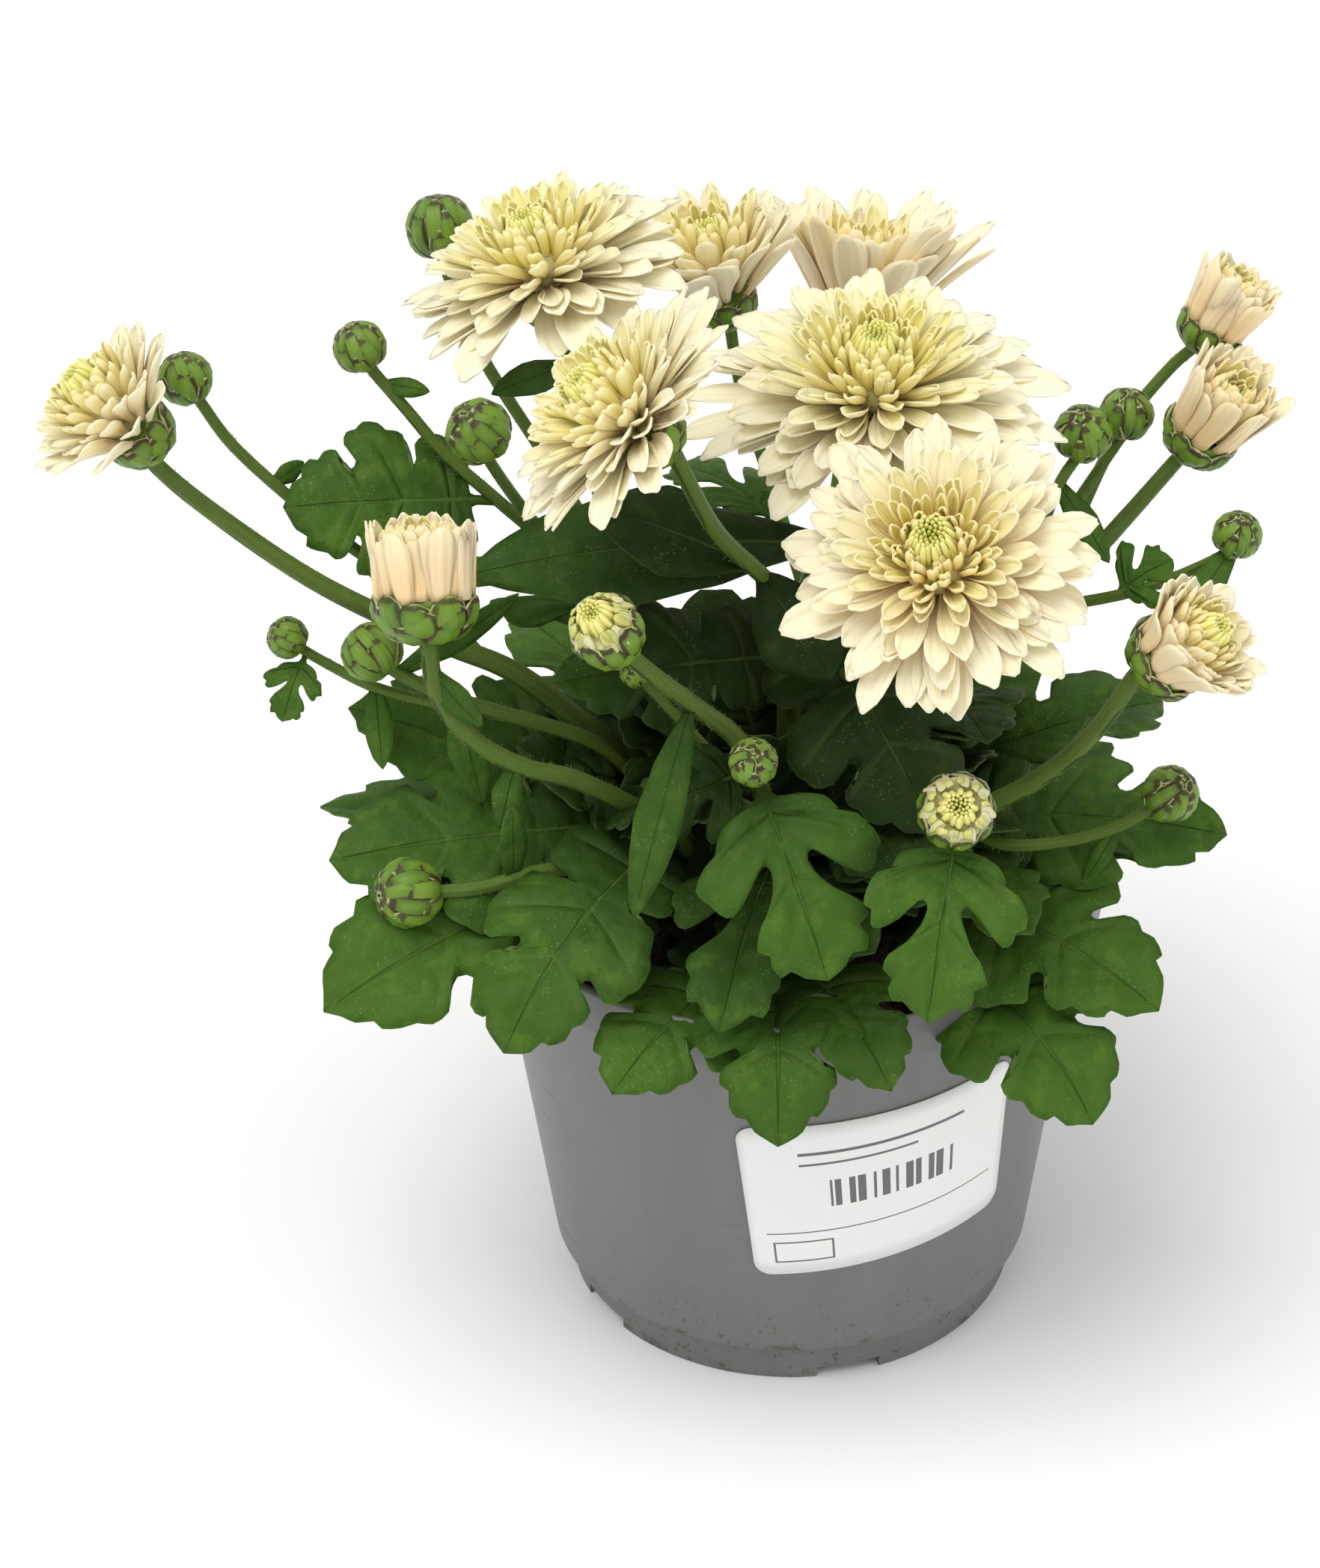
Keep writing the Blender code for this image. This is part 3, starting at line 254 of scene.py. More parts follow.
# Leafy stems, as in the part's source: foot in the soil; stalks as radius at start and end with a route; buds
# as middle, way they face and radius; leaves as stalk, share along it, tip, rise and place of the arch, way
# the upper face looks, width and outline
STEMS = {
    "stem_left": {
        "foot": (-16, -7),
        "stalks": (
            (2.1, 1.2, ((-17, -7, 88), (-27, -5, 104), (-43, -5, 121), (-57, -4, 128), (-76, -3, 139),
                        (-93, -2, 153), (-101, -2, 162))),
            (1.1, 0.9, ((-50, -4, 125), (-60, 4, 132), (-70, 8, 138), (-80, 11, 146), (-89, 13, 155),
                        (-94, 14, 163))),
            (1.3, 1.1, ((-23, -5, 99), (-32, -9, 111), (-47, -12, 119), (-57, -12, 123), (-64, -12, 128))),
            (1.0, 0.8, ((-46, -12, 118), (-58, -10, 120), (-67, -7, 121), (-74, -5, 124), (-79, -4, 127))),
            (1.6, 1.4, ((-17, -8, 87), (-20, -15, 98), (-34, -22, 112), (-43, -25, 117), (-51, -27, 124),
                        (-56, -28, 133), (-57, -28, 142))),
            (1.3, 1.1, ((-19, -13, 94), (-28, -24, 97), (-40, -28, 99), (-50, -31, 98), (-58, -32, 98))),
        ),
        "buds": (
            ((-96, 14, 167), (-0.3, 0.1, 0.95), 4.6),
            ((-67, -12, 131), (-0.6, 0.5, 0.6), 5.0),
            ((-81, -4, 129), (-0.8, -0.2, 0.5), 3.5),
            ((-62, -32, 98), (-0.85, -0.45, 0.25), 5.8),
        ),
        "leaves": (
            (0, 0.15, (-72, -2, 114), 6, 0.5, LEAN, 28, "lobed"),
            (0, 0.04, (-78, 2, 92), 9, 0.5, UP, 28, "lobed"),
            (2, 0.75, (-43, -15, 143), 1, 0.5, (1, -2, 0), 6, "bract"),
            (2, 0.52, (-50, -20, 106), 3, 0.4, TOWARDS, 7, "bract"),
            (3, 0.75, (-82, -12, 118), 2, 0.5, LEAN, 10, "cut"),
            (3, 0.4, (-66, -16, 111), 1, 0.5, TOWARDS, 5, "bract"),
            (1, 0.55, (-78, 16, 150), 1, 0.5, (1, -2, 1), 3.5, "bract"),
            (4, 0.15, (-75, -24, 99), 6, 0.5, LEAN, 34, "lobed"),
            (4, 0.03, (-76, -42, 82), 15, 0.55, LEAN, 36, "lobed"),
            (4, 0.12, (-47, -54, 82), 21, 0.65, LEAN, 28, "lobed"),
            (4, 0.45, (-47, -29, 108), 1, 0.5, TOWARDS, 5, "bract"),
            (4, 0.78, (-49, -30, 128), 1, 0.5, (-1, -1, 1), 5, "bract"),
            (5, 0.5, (-45, -30, 113), 1, 0.5, (1, -2, 0), 5, "bract"),
        ),
    },
    "stem_front": {
        "foot": (-3, -18),
        "stalks": (
            (1.8, 1.2, ((-3, -18, 90), (-5, -22, 108), (-9, -28, 123), (-15, -34, 133), (-21, -38, 141),
                        (-27, -41, 149))),
            (1.0, 0.9, ((-5, -23, 111), (-6, -33, 120), (-7, -42, 127))),
            (0.9, 0.8, ((-4, -19, 102), (-14, -19, 116), (-22, -18, 126))),
        ),
        "buds": (
            ((-7, -46, 131), (0, -0.6, 0.8), 3.9),
            ((-25, -18, 130), (-0.2, -0.4, 0.8), 2.6),
        ),
        "leaves": (
            (0, 0.6, (-26, -49, 104), 9, 0.4, TOWARDS, 7.5, "plain"),
            (1, 0.55, (4, -61, 100), 8, 0.45, TOWARDS, 30, "cut"),
            (0, 0.17, (-13, -59, 89), 10, 0.5, LEAN, 26, "cut"),
            (0, 0.02, (-30, -60, 78), 16, 0.7, LEAN, 26, "lobed"),
            (0, 0.0, (-4, -64, 70), 28, 0.85, LEAN, 27, "lobed"),
            (0, 0.02, (14, -62, 79), 17, 0.7, LEAN, 22, "lobed"),
            (0, 0.35, (-24, -32, 112), 4, 0.5, TOWARDS, 20, "cut"),
            (0, 0.12, (12, -44, 93), 5, 0.5, LEAN, 22, "cut"),
        ),
    },
    "stem_right": {
        "foot": (17, -8),
        "stalks": (
            (1.9, 1.3, ((18, -8, 90), (24, -17, 100), (31, -28, 110), (40, -31, 118), (47, -33, 127),
                        (53, -34, 138))),
            (1.1, 0.9, ((25, -17, 101), (33, -26, 101), (42, -26, 101), (50, -26, 103), (57, -26, 107))),
            (1.2, 1.1, ((28, -23, 105), (30, -33, 110), (28, -41, 115), (24, -47, 121))),
        ),
        "buds": (((60, -26, 110), (0.4, -0.5, 0.77), 4.7),),
        "leaves": (
            (0, 0.2, (70, -22, 99), 9, 0.5, LEAN, 26, "lobed"),
            (0, 0.05, (57, -49, 84), 19, 0.6, LEAN, 32, "lobed"),
            (0, 0.0, (72, -4, 88), 12, 0.5, UP, 28, "lobed"),
            (2, 0.7, (19, -67, 96), 6, 0.45, TOWARDS, 26, "cut"),
            (0, 0.02, (46, -60, 70), 23, 0.8, LEAN, 30, "lobed"),
            (1, 0.65, (46, -29, 94), 1, 0.5, TOWARDS, 3.5, "bract"),
            (0, 0.15, (37, -44, 96), 7, 0.5, LEAN, 26, "cut"),
        ),
    },
    "stem_back_right": {
        "foot": (16, 10),
        "stalks": (
            (1.9, 1.2, ((17, 11, 90), (30, 20, 104), (46, 30, 116), (52, 33, 119), (59, 37, 125),
                        (66, 39, 133))),
            (1.1, 1.0, ((45, 29, 115), (51, 40, 124), (58, 49, 134), (66, 53, 143))),
            (1.0, 0.9, ((33, 22, 106), (41, 27, 122), (46, 31, 134), (50, 34, 139))),
            (1.0, 0.9, ((36, 24, 108), (47, 34, 124), (55, 40, 134), (58, 42, 138))),
            (1.0, 0.8, ((42, 27, 112), (58, 24, 117), (69, 22, 123), (75, 22, 127))),
        ),
        "buds": (
            ((50, 34, 142), (-0.1, -0.4, 0.9), 5.0),
            ((58, 42, 141), (0.1, 0.0, 1.0), 4.7),
            ((75, 22, 129), (0.2, -0.3, 0.9), 4.2),
        ),
        "leaves": (
            (4, 0.2, (65, 26, 122), 2, 0.5, LEAN, 14, "cut"),
            (4, 0.7, (64, 12, 116), 1, 0.5, TOWARDS, 6, "bract"),
            (0, 0.1, (50, 8, 103), 5, 0.5, LEAN, 20, "cut"),
            (0, 0.02, (66, 38, 86), 14, 0.5, UP, 32, "lobed"),
            (0, 0.05, (46, 62, 94), 12, 0.5, UP, 26, "lobed"),
            (2, 0.5, (54, 22, 124), 1, 0.5, TOWARDS, 5, "bract"),
        ),
    },
    "stem_back": {
        "foot": (2, 17),
        "stalks": (
            (1.8, 1.2, ((3, 18, 90), (6, 36, 102), (10, 56, 116), (13, 70, 128), (14, 74, 137))),
            (1.1, 1.0, ((6, 35, 103), (0, 48, 120), (-6, 57, 138), (-8, 60, 150))),
        ),
        "buds": (),
        "leaves": (
            (0, 0.05, (14, 78, 86), 14, 0.5, UP, 28, "lobed"),
            (0, 0.02, (-16, 72, 86), 14, 0.5, UP, 26, "lobed"),
            (0, 0.3, (30, 66, 112), 7, 0.5, UP, 20, "cut"),
            (1, 0.2, (-18, 70, 116), 7, 0.5, UP, 18, "cut"),
        ),
    },
    "stem_back_left": {
        "foot": (-13, 11),
        "stalks": (
            (1.9, 1.3, ((-14, 12, 90), (-22, 17, 112), (-30, 24, 138), (-34, 29, 155), (-35, 30, 167))),
            (1.1, 1.0, ((-23, 18, 116), (-38, 34, 137), (-50, 46, 153), (-56, 53, 168))),
            (1.1, 0.9, ((-23, 17, 113), (-36, 15, 131), (-47, 13, 144), (-55, 14, 152), (-61, 15, 160),
                        (-67, 16, 168))),
            (1.0, 0.9, ((-36, 15, 131), (-43, 9, 145), (-48, 3, 158))),
        ),
        "buds": (
            ((-56, 53, 173), (-0.1, 0.3, 0.95), 5.8),
            ((-68, 16, 171), (-0.4, 0.0, 0.9), 4.4),
            ((-49, 2, 163), (-0.5, -0.3, 0.8), 5.4),
        ),
        "leaves": (
            (2, 0.33, (-81, 5, 148), 3, 0.5, TOWARDS, 27, "lobed"),
            (0, 0.03, (-64, 36, 86), 12, 0.5, UP, 30, "lobed"),
            (0, 0.05, (-46, 62, 92), 12, 0.5, UP, 28, "lobed"),
            (0, 0.35, (-60, 34, 118), 7, 0.5, UP, 22, "cut"),
            (0, 0.72, (-47, 14, 163), 1, 0.5, TOWARDS, 6, "bract"),
            (2, 0.75, (-57, 15, 163), 1, 0.5, TOWARDS, 3.5, "bract"),
        ),
    },
    "stem_centre": {
        "foot": (0, 0),
        "stalks": (
            (2.1, 1.5, ((0, 1, 90), (0, 3, 110), (2, 5, 126), (8, 8, 142), (14, 10, 156))),
            (1.4, 1.3, ((1, 4, 122), (-3, -6, 138), (-12, -15, 154), (-19, -23, 174))),
            (1.4, 1.3, ((0, 3, 110), (9, -8, 122), (18, -20, 135), (24, -29, 146), (25, -33, 153))),
        ),
        "buds": (),
        "leaves": (
            (0, 0.62, (-52, -9, 143), 8, 0.5, LEAN, 20, "plain"),
            (1, 0.35, (-31, -9, 155), 3, 0.5, LEAN, 16, "plain"),
            (1, 0.3, (6, -20, 129), 3, 0.5, TOWARDS, 15, "plain"),
            (0, 0.5, (22, -29, 105), 8, 0.5, (1, -3, 4), 32, "lobed"),
            (0, 0.42, (-38, -16, 127), 4, 0.5, TOWARDS, 22, "lobed"),
            (0, 0.12, (-14, 26, 118), 6, 0.5, LEAN, 32, "lobed"),
            (0, 0.1, (10, 34, 114), 6, 0.5, LEAN, 32, "lobed"),
            (0, 0.08, (-30, 24, 104), 6, 0.5, LEAN, 30, "lobed"),
            (0, 0.15, (27, 12, 116), 6, 0.5, LEAN, 30, "lobed"),
            (0, 0.1, (-8, -16, 116), 5, 0.5, TOWARDS, 26, "lobed"),
            (0, 0.12, (14, -20, 112), 5, 0.5, TOWARDS, 26, "lobed"),
        ),
    },
}
CARRIES = {
    "stem_left": ("bloom_far_left", "head_left"),
    "stem_front": ("opening_bud_left",),
    "stem_right": ("head_front_right", "opening_bud_right"),
    "stem_back_right": ("head_right", "head_right_back"),
    "stem_back": ("bloom_back_right", "bloom_back"),
    "stem_back_left": ("bloom_back_left",),
    "stem_centre": ("bloom_centre_left", "bloom_centre", "bloom_front"),
}


# Placing


def placed(right, back, up):
    """A point or direction of the front layout, in millimetres, as a vector of the part's frame."""
    return Matrix.Rotation(-FRONT_TURN, 3, "Z") @ Vector((right, back, up))


def mix(a, b, share):
    """The value at this share of the way from a to b."""
    return a + (b - a) * share


def smooth(low, high, value):
    """A soft step from 0 to 1 as the value goes from low to high."""
    share = min(max((value - low) / (high - low), 0.0), 1.0)
    return share * share * (3 - 2 * share)


def spline(points, share):
    """A point of the smooth curve through these points, by share of their number."""
    place = min(max(share, 0.0), 1.0) * (len(points) - 1)
    first = min(int(place), len(points) - 2)
    t = place - first
    b, c = points[first], points[first + 1]
    a = points[first - 1] if first else b * 2 - c
    d = points[first + 2] if first + 2 < len(points) else c * 2 - b
    return 0.5 * (b * 2 + (c - a) * t + (a * 2 - b * 5 + c * 4 - d) * t**2 + (b * 3 - a - c * 3 + d) * t**3)


def run(points):
    """The length of the line through these points."""
    return sum((b - a).length for a, b in zip(points, points[1:]))


def heading(points, share):
    """The way in which the smooth curve through these points runs at this share of it."""
    return (spline(points, share + NEARBY) - spline(points, share - NEARBY)).normalized()


def polar(radius, angle, height=0.0):
    """The point at this distance from the Z axis, at this angle from X."""
    return Vector((radius * cos(angle), radius * sin(angle), height))


def facing_matrix(point, direction):
    """A frame at this point whose Z axis looks along the direction."""
    turn = direction.normalized().to_track_quat("Z", "Y").to_matrix().to_4x4()
    return Matrix.Translation(point) @ turn


def head_frame(head):
    """The frame on the flat top of a head's green cup."""
    foot, facing, (_, cup_depth) = HEADS[head][:3]
    axis = placed(*facing).normalized()
    return facing_matrix(placed(*foot) + axis * cup_depth, axis)


def stalk_route(name, index):
    """A stalk's points in the part's frame, from the soil or its parent stalk into its cup or bud."""
    stem = STEMS[name]
    route = [placed(*point) for point in stem["stalks"][index][2]]
    if index == 0:
        route.insert(0, placed(*stem["foot"], SOIL_EDGE - ROOT_DEPTH))
    ends = [placed(*bud[0]) for bud in stem["buds"]]
    for head in CARRIES[name]:
        foot, facing, (_, depth) = HEADS[head][:3]
        ends.append(placed(*foot) + placed(*facing).normalized() * depth * 0.5)
    nearest = min(ends, key=lambda end: (end - route[-1]).length)
    return route + [nearest]


def wall_radius(height):
    """The outer radius of the pot's wall under the rim band."""
    top = POT_HEIGHT - BAND_HEIGHT
    return mix(WALL_FOOT_RADIUS, RIM_RADIUS - BAND_STEP, (height - FOOT_HEIGHT) / (top - FOOT_HEIGHT))


# Materials


class Signal:
    """A socket of a material's nodes, on which arithmetic adds Math nodes."""

    def __init__(self, coat, socket):
        self.coat = coat
        self.socket = socket

    def math(self, operation, *values):
        return self.coat.node("ShaderNodeMath", {"operation": operation}, dict(enumerate(values)))

    def __add__(self, other):
        return self.math("ADD", self, other)

    def __sub__(self, other):
        return self.math("SUBTRACT", self, other)

    def __rsub__(self, other):
        return self.math("SUBTRACT", other, self)

    def __mul__(self, other):
        return self.math("MULTIPLY", self, other)

    def __pow__(self, other):
        return self.math("POWER", self, other)

    def __abs__(self):
        return self.math("ABSOLUTE", self)

    __radd__ = __add__
    __rmul__ = __mul__

    def most(self, other):
        return self.math("MAXIMUM", self, other)

    def cosine(self):
        return self.math("COSINE", self)

    def step(self, low, high):
        """A soft step from 0 to 1 as the signal goes from low to high."""
        sockets = {"Value": self, "From Min": low, "From Max": high}
        return self.coat.node("ShaderNodeMapRange", {"interpolation_type": "SMOOTHSTEP"}, sockets)

    def band(self, low, high, soft):
        """1 between low and high, with soft ends."""
        return self.step(low - soft, low + soft) * (1 - self.step(high - soft, high + soft))


class Coat:
    """A material whose nodes are added from Python values and signals, painted over from a first colour."""

    def __init__(self, name, colour, **finish):
        self.material = bpy.data.materials.new(name)
        self.material.use_nodes = True
        self.tree = self.material.node_tree
        self.shader = self.tree.nodes["Principled BSDF"]
        self.colour = colour
        self.set(**finish)

    def feed(self, socket, value):
        if isinstance(value, Signal):
            self.tree.links.new(value.socket, socket)
        elif socket.type == "RGBA":
            socket.default_value = (*value[:3], 1.0)
        else:
            socket.default_value = value

    def set(self, **finish):
        """Gives the shader's sockets, named with underscores for spaces, their values or signals."""
        for name, value in finish.items():
            self.feed(self.shader.inputs[name.replace("_", " ")], value)

    def node(self, kind, settings, sockets, out=0):
        made = self.tree.nodes.new(kind)
        for name, value in settings.items():
            setattr(made, name, value)
        for name, value in sockets.items():
            self.feed(made.inputs[name], value)
        return Signal(self, made.outputs[out])

    def parts(self, name):
        """The three values of a vector that the piece's vertices carry."""
        vector = self.node("ShaderNodeAttribute", {"attribute_name": name}, {}, 1)
        return [self.node("ShaderNodeSeparateXYZ", {}, {0: vector}, part) for part in range(3)]

    def back(self):
        """1 on the under or inner side of a thickened sheet, 0 on its upper side."""
        return self.node("ShaderNodeAttribute", {"attribute_name": "back"}, {}, 2)

    def place(self, stretch=(1.0, 1.0, 1.0)):
        spot = self.node("ShaderNodeTexCoord", {}, {}, 3)
        return self.node("ShaderNodeMapping", {}, {"Vector": spot, "Scale": stretch})

    def height(self):
        return self.node("ShaderNodeSeparateXYZ", {}, {0: self.place()}, 2)

    def cloud(self, scale, detail=3.0, vector=None, roughness=0.5):
        sockets = {"Vector": vector or self.place(), "Scale": scale, "Detail": detail, "Roughness": roughness}
        return self.node("ShaderNodeTexNoise", {}, sockets)

    def streaks(self, detail, x, y, z):
        """Noise that runs over these three signals instead of the piece's coordinates."""
        return self.cloud(1.0, detail, self.node("ShaderNodeCombineXYZ", {}, {0: x, 1: y, 2: z}))

    def cells(self, scale, feature="F1"):
        sockets = {"Vector": self.place(), "Scale": scale}
        return self.node("ShaderNodeTexVoronoi", {"feature": feature}, sockets)

    def paint(self, share, colour, how="MIX"):
        """Covers this share of the colour so far with another one."""
        settings = {"data_type": "RGBA", "blend_type": how}
        self.colour = self.node("ShaderNodeMix", settings, {0: share, 6: self.colour, 7: colour}, 2)

    def done(self, height, depth, **finish):
        """The material, with its painted colour and a bump of this height signal, this many metres deep."""
        bump = self.node("ShaderNodeBump", {}, {"Height": height, "Distance": depth, "Strength": 1.0})
        self.set(Base_Color=self.colour, Normal=bump, **finish)
        return self.material


def petal_coat(looks):
    """Cream petals with fine lengthwise grooves, lemon towards the middle and peach at their roots."""
    coat = Coat("petal_satin", looks.ivory, Specular_IOR_Level=0.25)
    coat.set(Subsurface_Weight=0.4, Subsurface_Radius=(1.0, 1.0, 1.0), Subsurface_Scale=0.001)
    across, along, rank = coat.parts("place")
    chance, blush, green = coat.parts("tone")
    back = coat.back()
    grain = coat.streaks(2.0, across * 9.0, along * 0.8, chance * 40.0)
    lemon = rank.step(0.25, 0.8) * (0.75 + 0.25 * (1 - along.step(0.55, 1.0)))
    coat.paint(lemon, looks.lemon)
    root = (1 - along.step(0.04, 0.5)) * (1 - 0.6 * rank.step(0.6, 0.95))
    coat.paint(root * (0.35 + blush * 0.4), looks.peach)
    coat.paint(back * blush * (0.5 + 0.5 * (1 - along.step(0.2, 1.0))), looks.blush)
    coat.paint(green, looks.eye)
    coat.paint(chance * 0.3 * (1 - green) * (1 - lemon), looks.pale)
    pink = (coat.streaks(1.0, chance * 20.0, along * 0.6, 0.0) - 0.35).most(0.0)
    coat.paint(pink * blush * 0.5 * (1 - lemon), looks.blush)
    coat.paint((grain - 0.4).most(0.0) * 0.8, looks.shade, "MULTIPLY")
    grooves = (across * 9.4).cosine() * 0.6 * along.band(0.1, 0.95, 0.08)
    return coat.done(grooves + grain * 0.3, 0.0001, Roughness=0.46 + grain * 0.16)


def leaf_coat(looks):
    """Dull green blades with sunken veins, a quilted surface, pale specks and a thin pale edge, darkened by
    painted shade inside the plant.
    """
    coat = Coat("leaf_blade", looks.old_and_shaded_green, Specular_IOR_Level=0.14)
    edge, along, vein = coat.parts("place")
    chance, young, _ = coat.parts("tone")
    back = coat.back()
    fine = coat.cloud(420.0, 3.0)
    # Painted shade: the tone's young value is lower for leaves near the pot's axis, so the old green darkens
    # the plant's inside; the clouds and chance add the leaves' own uneven age
    age = young * 0.8 + coat.cloud(90.0, 4.0) * 0.7 - 0.35 + chance * 0.2
    coat.paint(age.step(0.0, 1.0), looks.young_green)
    coat.paint((fine - 0.4).most(0.0) * 0.8, looks.young_green)
    coat.paint(coat.cloud(240.0, 3.0, roughness=0.65).step(0.48, 0.68) * 0.42, looks.mottled_green)
    level = {0: coat.place(), 1: (1.0, 1.0, 0.0)}
    spot = coat.node("ShaderNodeVectorMath", {"operation": "MULTIPLY"}, level)
    reach = coat.node("ShaderNodeVectorMath", {"operation": "LENGTH"}, {0: spot}, 1)
    # Painted shade: darker green near the pot's axis, deep inside the plant, and towards each leaf's base
    coat.paint((1 - reach.step(0.02, 0.07)) * 0.75 + (1 - along.step(0.0, 0.55)) * 0.22, looks.painted_shade_green)
    midrib = 1 - edge.step(0.0, 0.06)
    ribs = (vein ** 3.0 * (1 - edge.step(0.7, 1.0))).most(midrib)
    coat.paint(ribs * 0.3, looks.vein_green)
    specks = 1 - coat.cells(1500.0).step(0.1, 0.22)
    coat.paint(specks * coat.cloud(190.0, 2.0).step(0.52, 0.62) * 0.4, looks.speck)
    coat.paint(edge.step(0.965, 1.0) * 0.12, looks.vein_green)
    rust = 1 - coat.cells(420.0).step(0.1, 0.16)
    coat.paint(rust * coat.cloud(60.0).step(0.5, 0.6) * 0.6, looks.stalk_brown)
    coat.paint(back * 0.75, looks.under_green)
    quilt = coat.cells(260.0, "SMOOTH_F1") * 1.2 + fine * 0.5 + coat.cloud(2400.0, 2.0) * 0.12
    grooves = ribs * (0.9 - back * 1.8)
    return coat.done(quilt * 0.6 - grooves * 0.3, 0.0013, Roughness=0.45 + fine * 0.22)


def stalk_coat(looks):
    """Ribbed green stalks, brown where they are old, with a dusting of down."""
    coat = Coat("stalk_skin", looks.stalk_green, Roughness=0.5, Specular_IOR_Level=0.2)
    around, along, _ = coat.parts("place")
    chance, brown, pale = coat.parts("tone")
    streaks = coat.streaks(3.0, around * 5.0, along * 9.0, chance * 30.0)
    coat.paint((brown + (streaks - 0.5) * 1.1).step(0.1, 0.9), looks.stalk_brown)
    coat.paint(coat.cloud(600.0).step(0.45, 0.75) * 0.35, looks.vein_green)
    coat.paint(pale, looks.down)
    ribs = (around * 15.7).cosine() * 0.5 + coat.streaks(2.0, around * 30.0, along * 6.0, 0.0) * 0.5
    return coat.done(ribs * (1 - pale), 0.0002)


def bract_coat(looks):
    """Scales of buds and cups: green pads, pale in the middle with a painted highlight, with a brown line and a
    papery rim.
    """
    coat = Coat("bud_scale", looks.bud_green, Roughness=0.4, Specular_IOR_Level=0.32)
    across, along, rim = coat.parts("place")
    chance, young, _ = coat.parts("tone")
    edge = abs(across).most(1 - (1 - along) * 2.4) + (coat.cloud(900.0) - 0.5) * 0.12
    coat.paint(chance * 0.6 + coat.cloud(500.0) * 0.4, looks.bud_pale_and_highlight)
    # Pale middle of each scale: partly its own paler green, partly a painted highlight on its swell
    coat.paint(along.step(0.1, 0.8) * (1 - edge.step(0.15, 0.6)) * 0.65, looks.bud_pale_and_highlight)
    ends = along.step(0.1, 0.45) * rim
    coat.paint(edge.band(0.58, 0.87, 0.08) * ends * (0.75 + young * 0.25), looks.bud_brown)
    coat.paint(edge.step(0.88, 0.95) * ends * (0.5 + young * 0.4), looks.paper_rim)
    return coat.done(coat.cloud(1800.0) * 0.5 + (across * 11.0).cosine() * 0.25, 0.00015)


def plastic_coat(looks):
    """Satin grey plastic with a fine grain, faint flow lines, light scuffs and dirt at its foot."""
    coat = Coat("pot_plastic", looks.plastic_dark, Specular_IOR_Level=0.5)
    broad = coat.cloud(18.0, 3.0)
    streaks = coat.cloud(1.0, 3.0, coat.place((220.0, 220.0, 14.0)))
    coat.paint((broad * 0.6 + streaks * 0.4).step(0.3, 0.7), looks.plastic)
    height = coat.height()
    coat.paint(coat.cloud(900.0, 2.0).step(0.62, 0.7) * (1 - height.step(0.004, 0.03)) * 0.7, looks.soil)
    seams = height.band(0.0068, 0.0095, 0.001).most(1 - height.step(0.0, 0.003))
    coat.paint(coat.cloud(120.0, 5.0, roughness=0.7).step(0.52, 0.6) * seams * 0.85, looks.soil)
    scuffs = coat.cloud(1.0, 4.0, coat.place((60.0, 60.0, 600.0))).step(0.6, 0.72)
    coat.paint(scuffs * 0.15, looks.scuff)
    grain = coat.cloud(2600.0, 2.0) * 0.4 + streaks * 0.3
    return coat.done(grain, 0.00006, Roughness=0.36 + broad * 0.12 + scuffs * 0.15)


def paper_coat(looks):
    """White coated paper with three rules, a block of plain bars and a small outlined box."""
    coat = Coat("label_paper", looks.paper, Roughness=0.38)
    across, up, _ = coat.parts("place")
    fibres = coat.cloud(1400.0, 3.0)
    coat.paint(fibres * 0.5, looks.paper_shade)

    def inside(left, right, low, high):
        """1 inside this rectangle, in shares of the sticker's width and height from its middle."""
        return across.band(left, right, 0.0015) * up.band(low, high, 0.0015)

    ink = inside(-0.44, 0.44, -0.225, -0.217)
    ink = ink.most(inside(-0.3, 0.3, 0.3, 0.32)).most(inside(-0.3, 0.12, 0.23, 0.245))
    line = across * 150.0
    bars = (line.cosine() + (line * 0.43).cosine() * 0.9).step(-0.1, 0.0)
    box = inside(-0.42, -0.2, -0.42, -0.28) - inside(-0.412, -0.208, -0.41, -0.29)
    coat.paint(ink.most(inside(-0.2, 0.26, -0.06, 0.12) * bars).most(box) * 0.88, looks.ink)
    return coat.done(fibres, 0.00002)


def soil_coat(looks):
    """Dark damp peat with lighter fibres."""
    coat = Coat("peat", looks.soil, Roughness=0.95)
    lumps = coat.cloud(160.0, 5.0, roughness=0.7)
    coat.paint(lumps.step(0.35, 0.75), looks.soil_light)
    return coat.done(lumps + coat.cloud(900.0) * 0.4, 0.0015)


def floor_coat(looks):
    """A pale matt floor, very faintly clouded."""
    coat = Coat("studio_floor", looks.floor_colour, Roughness=0.8)
    coat.paint(coat.cloud(3.0), [value * 0.99 for value in looks.floor_colour])
    coat.set(Base_Color=coat.colour)
    return coat.material


# Shapes


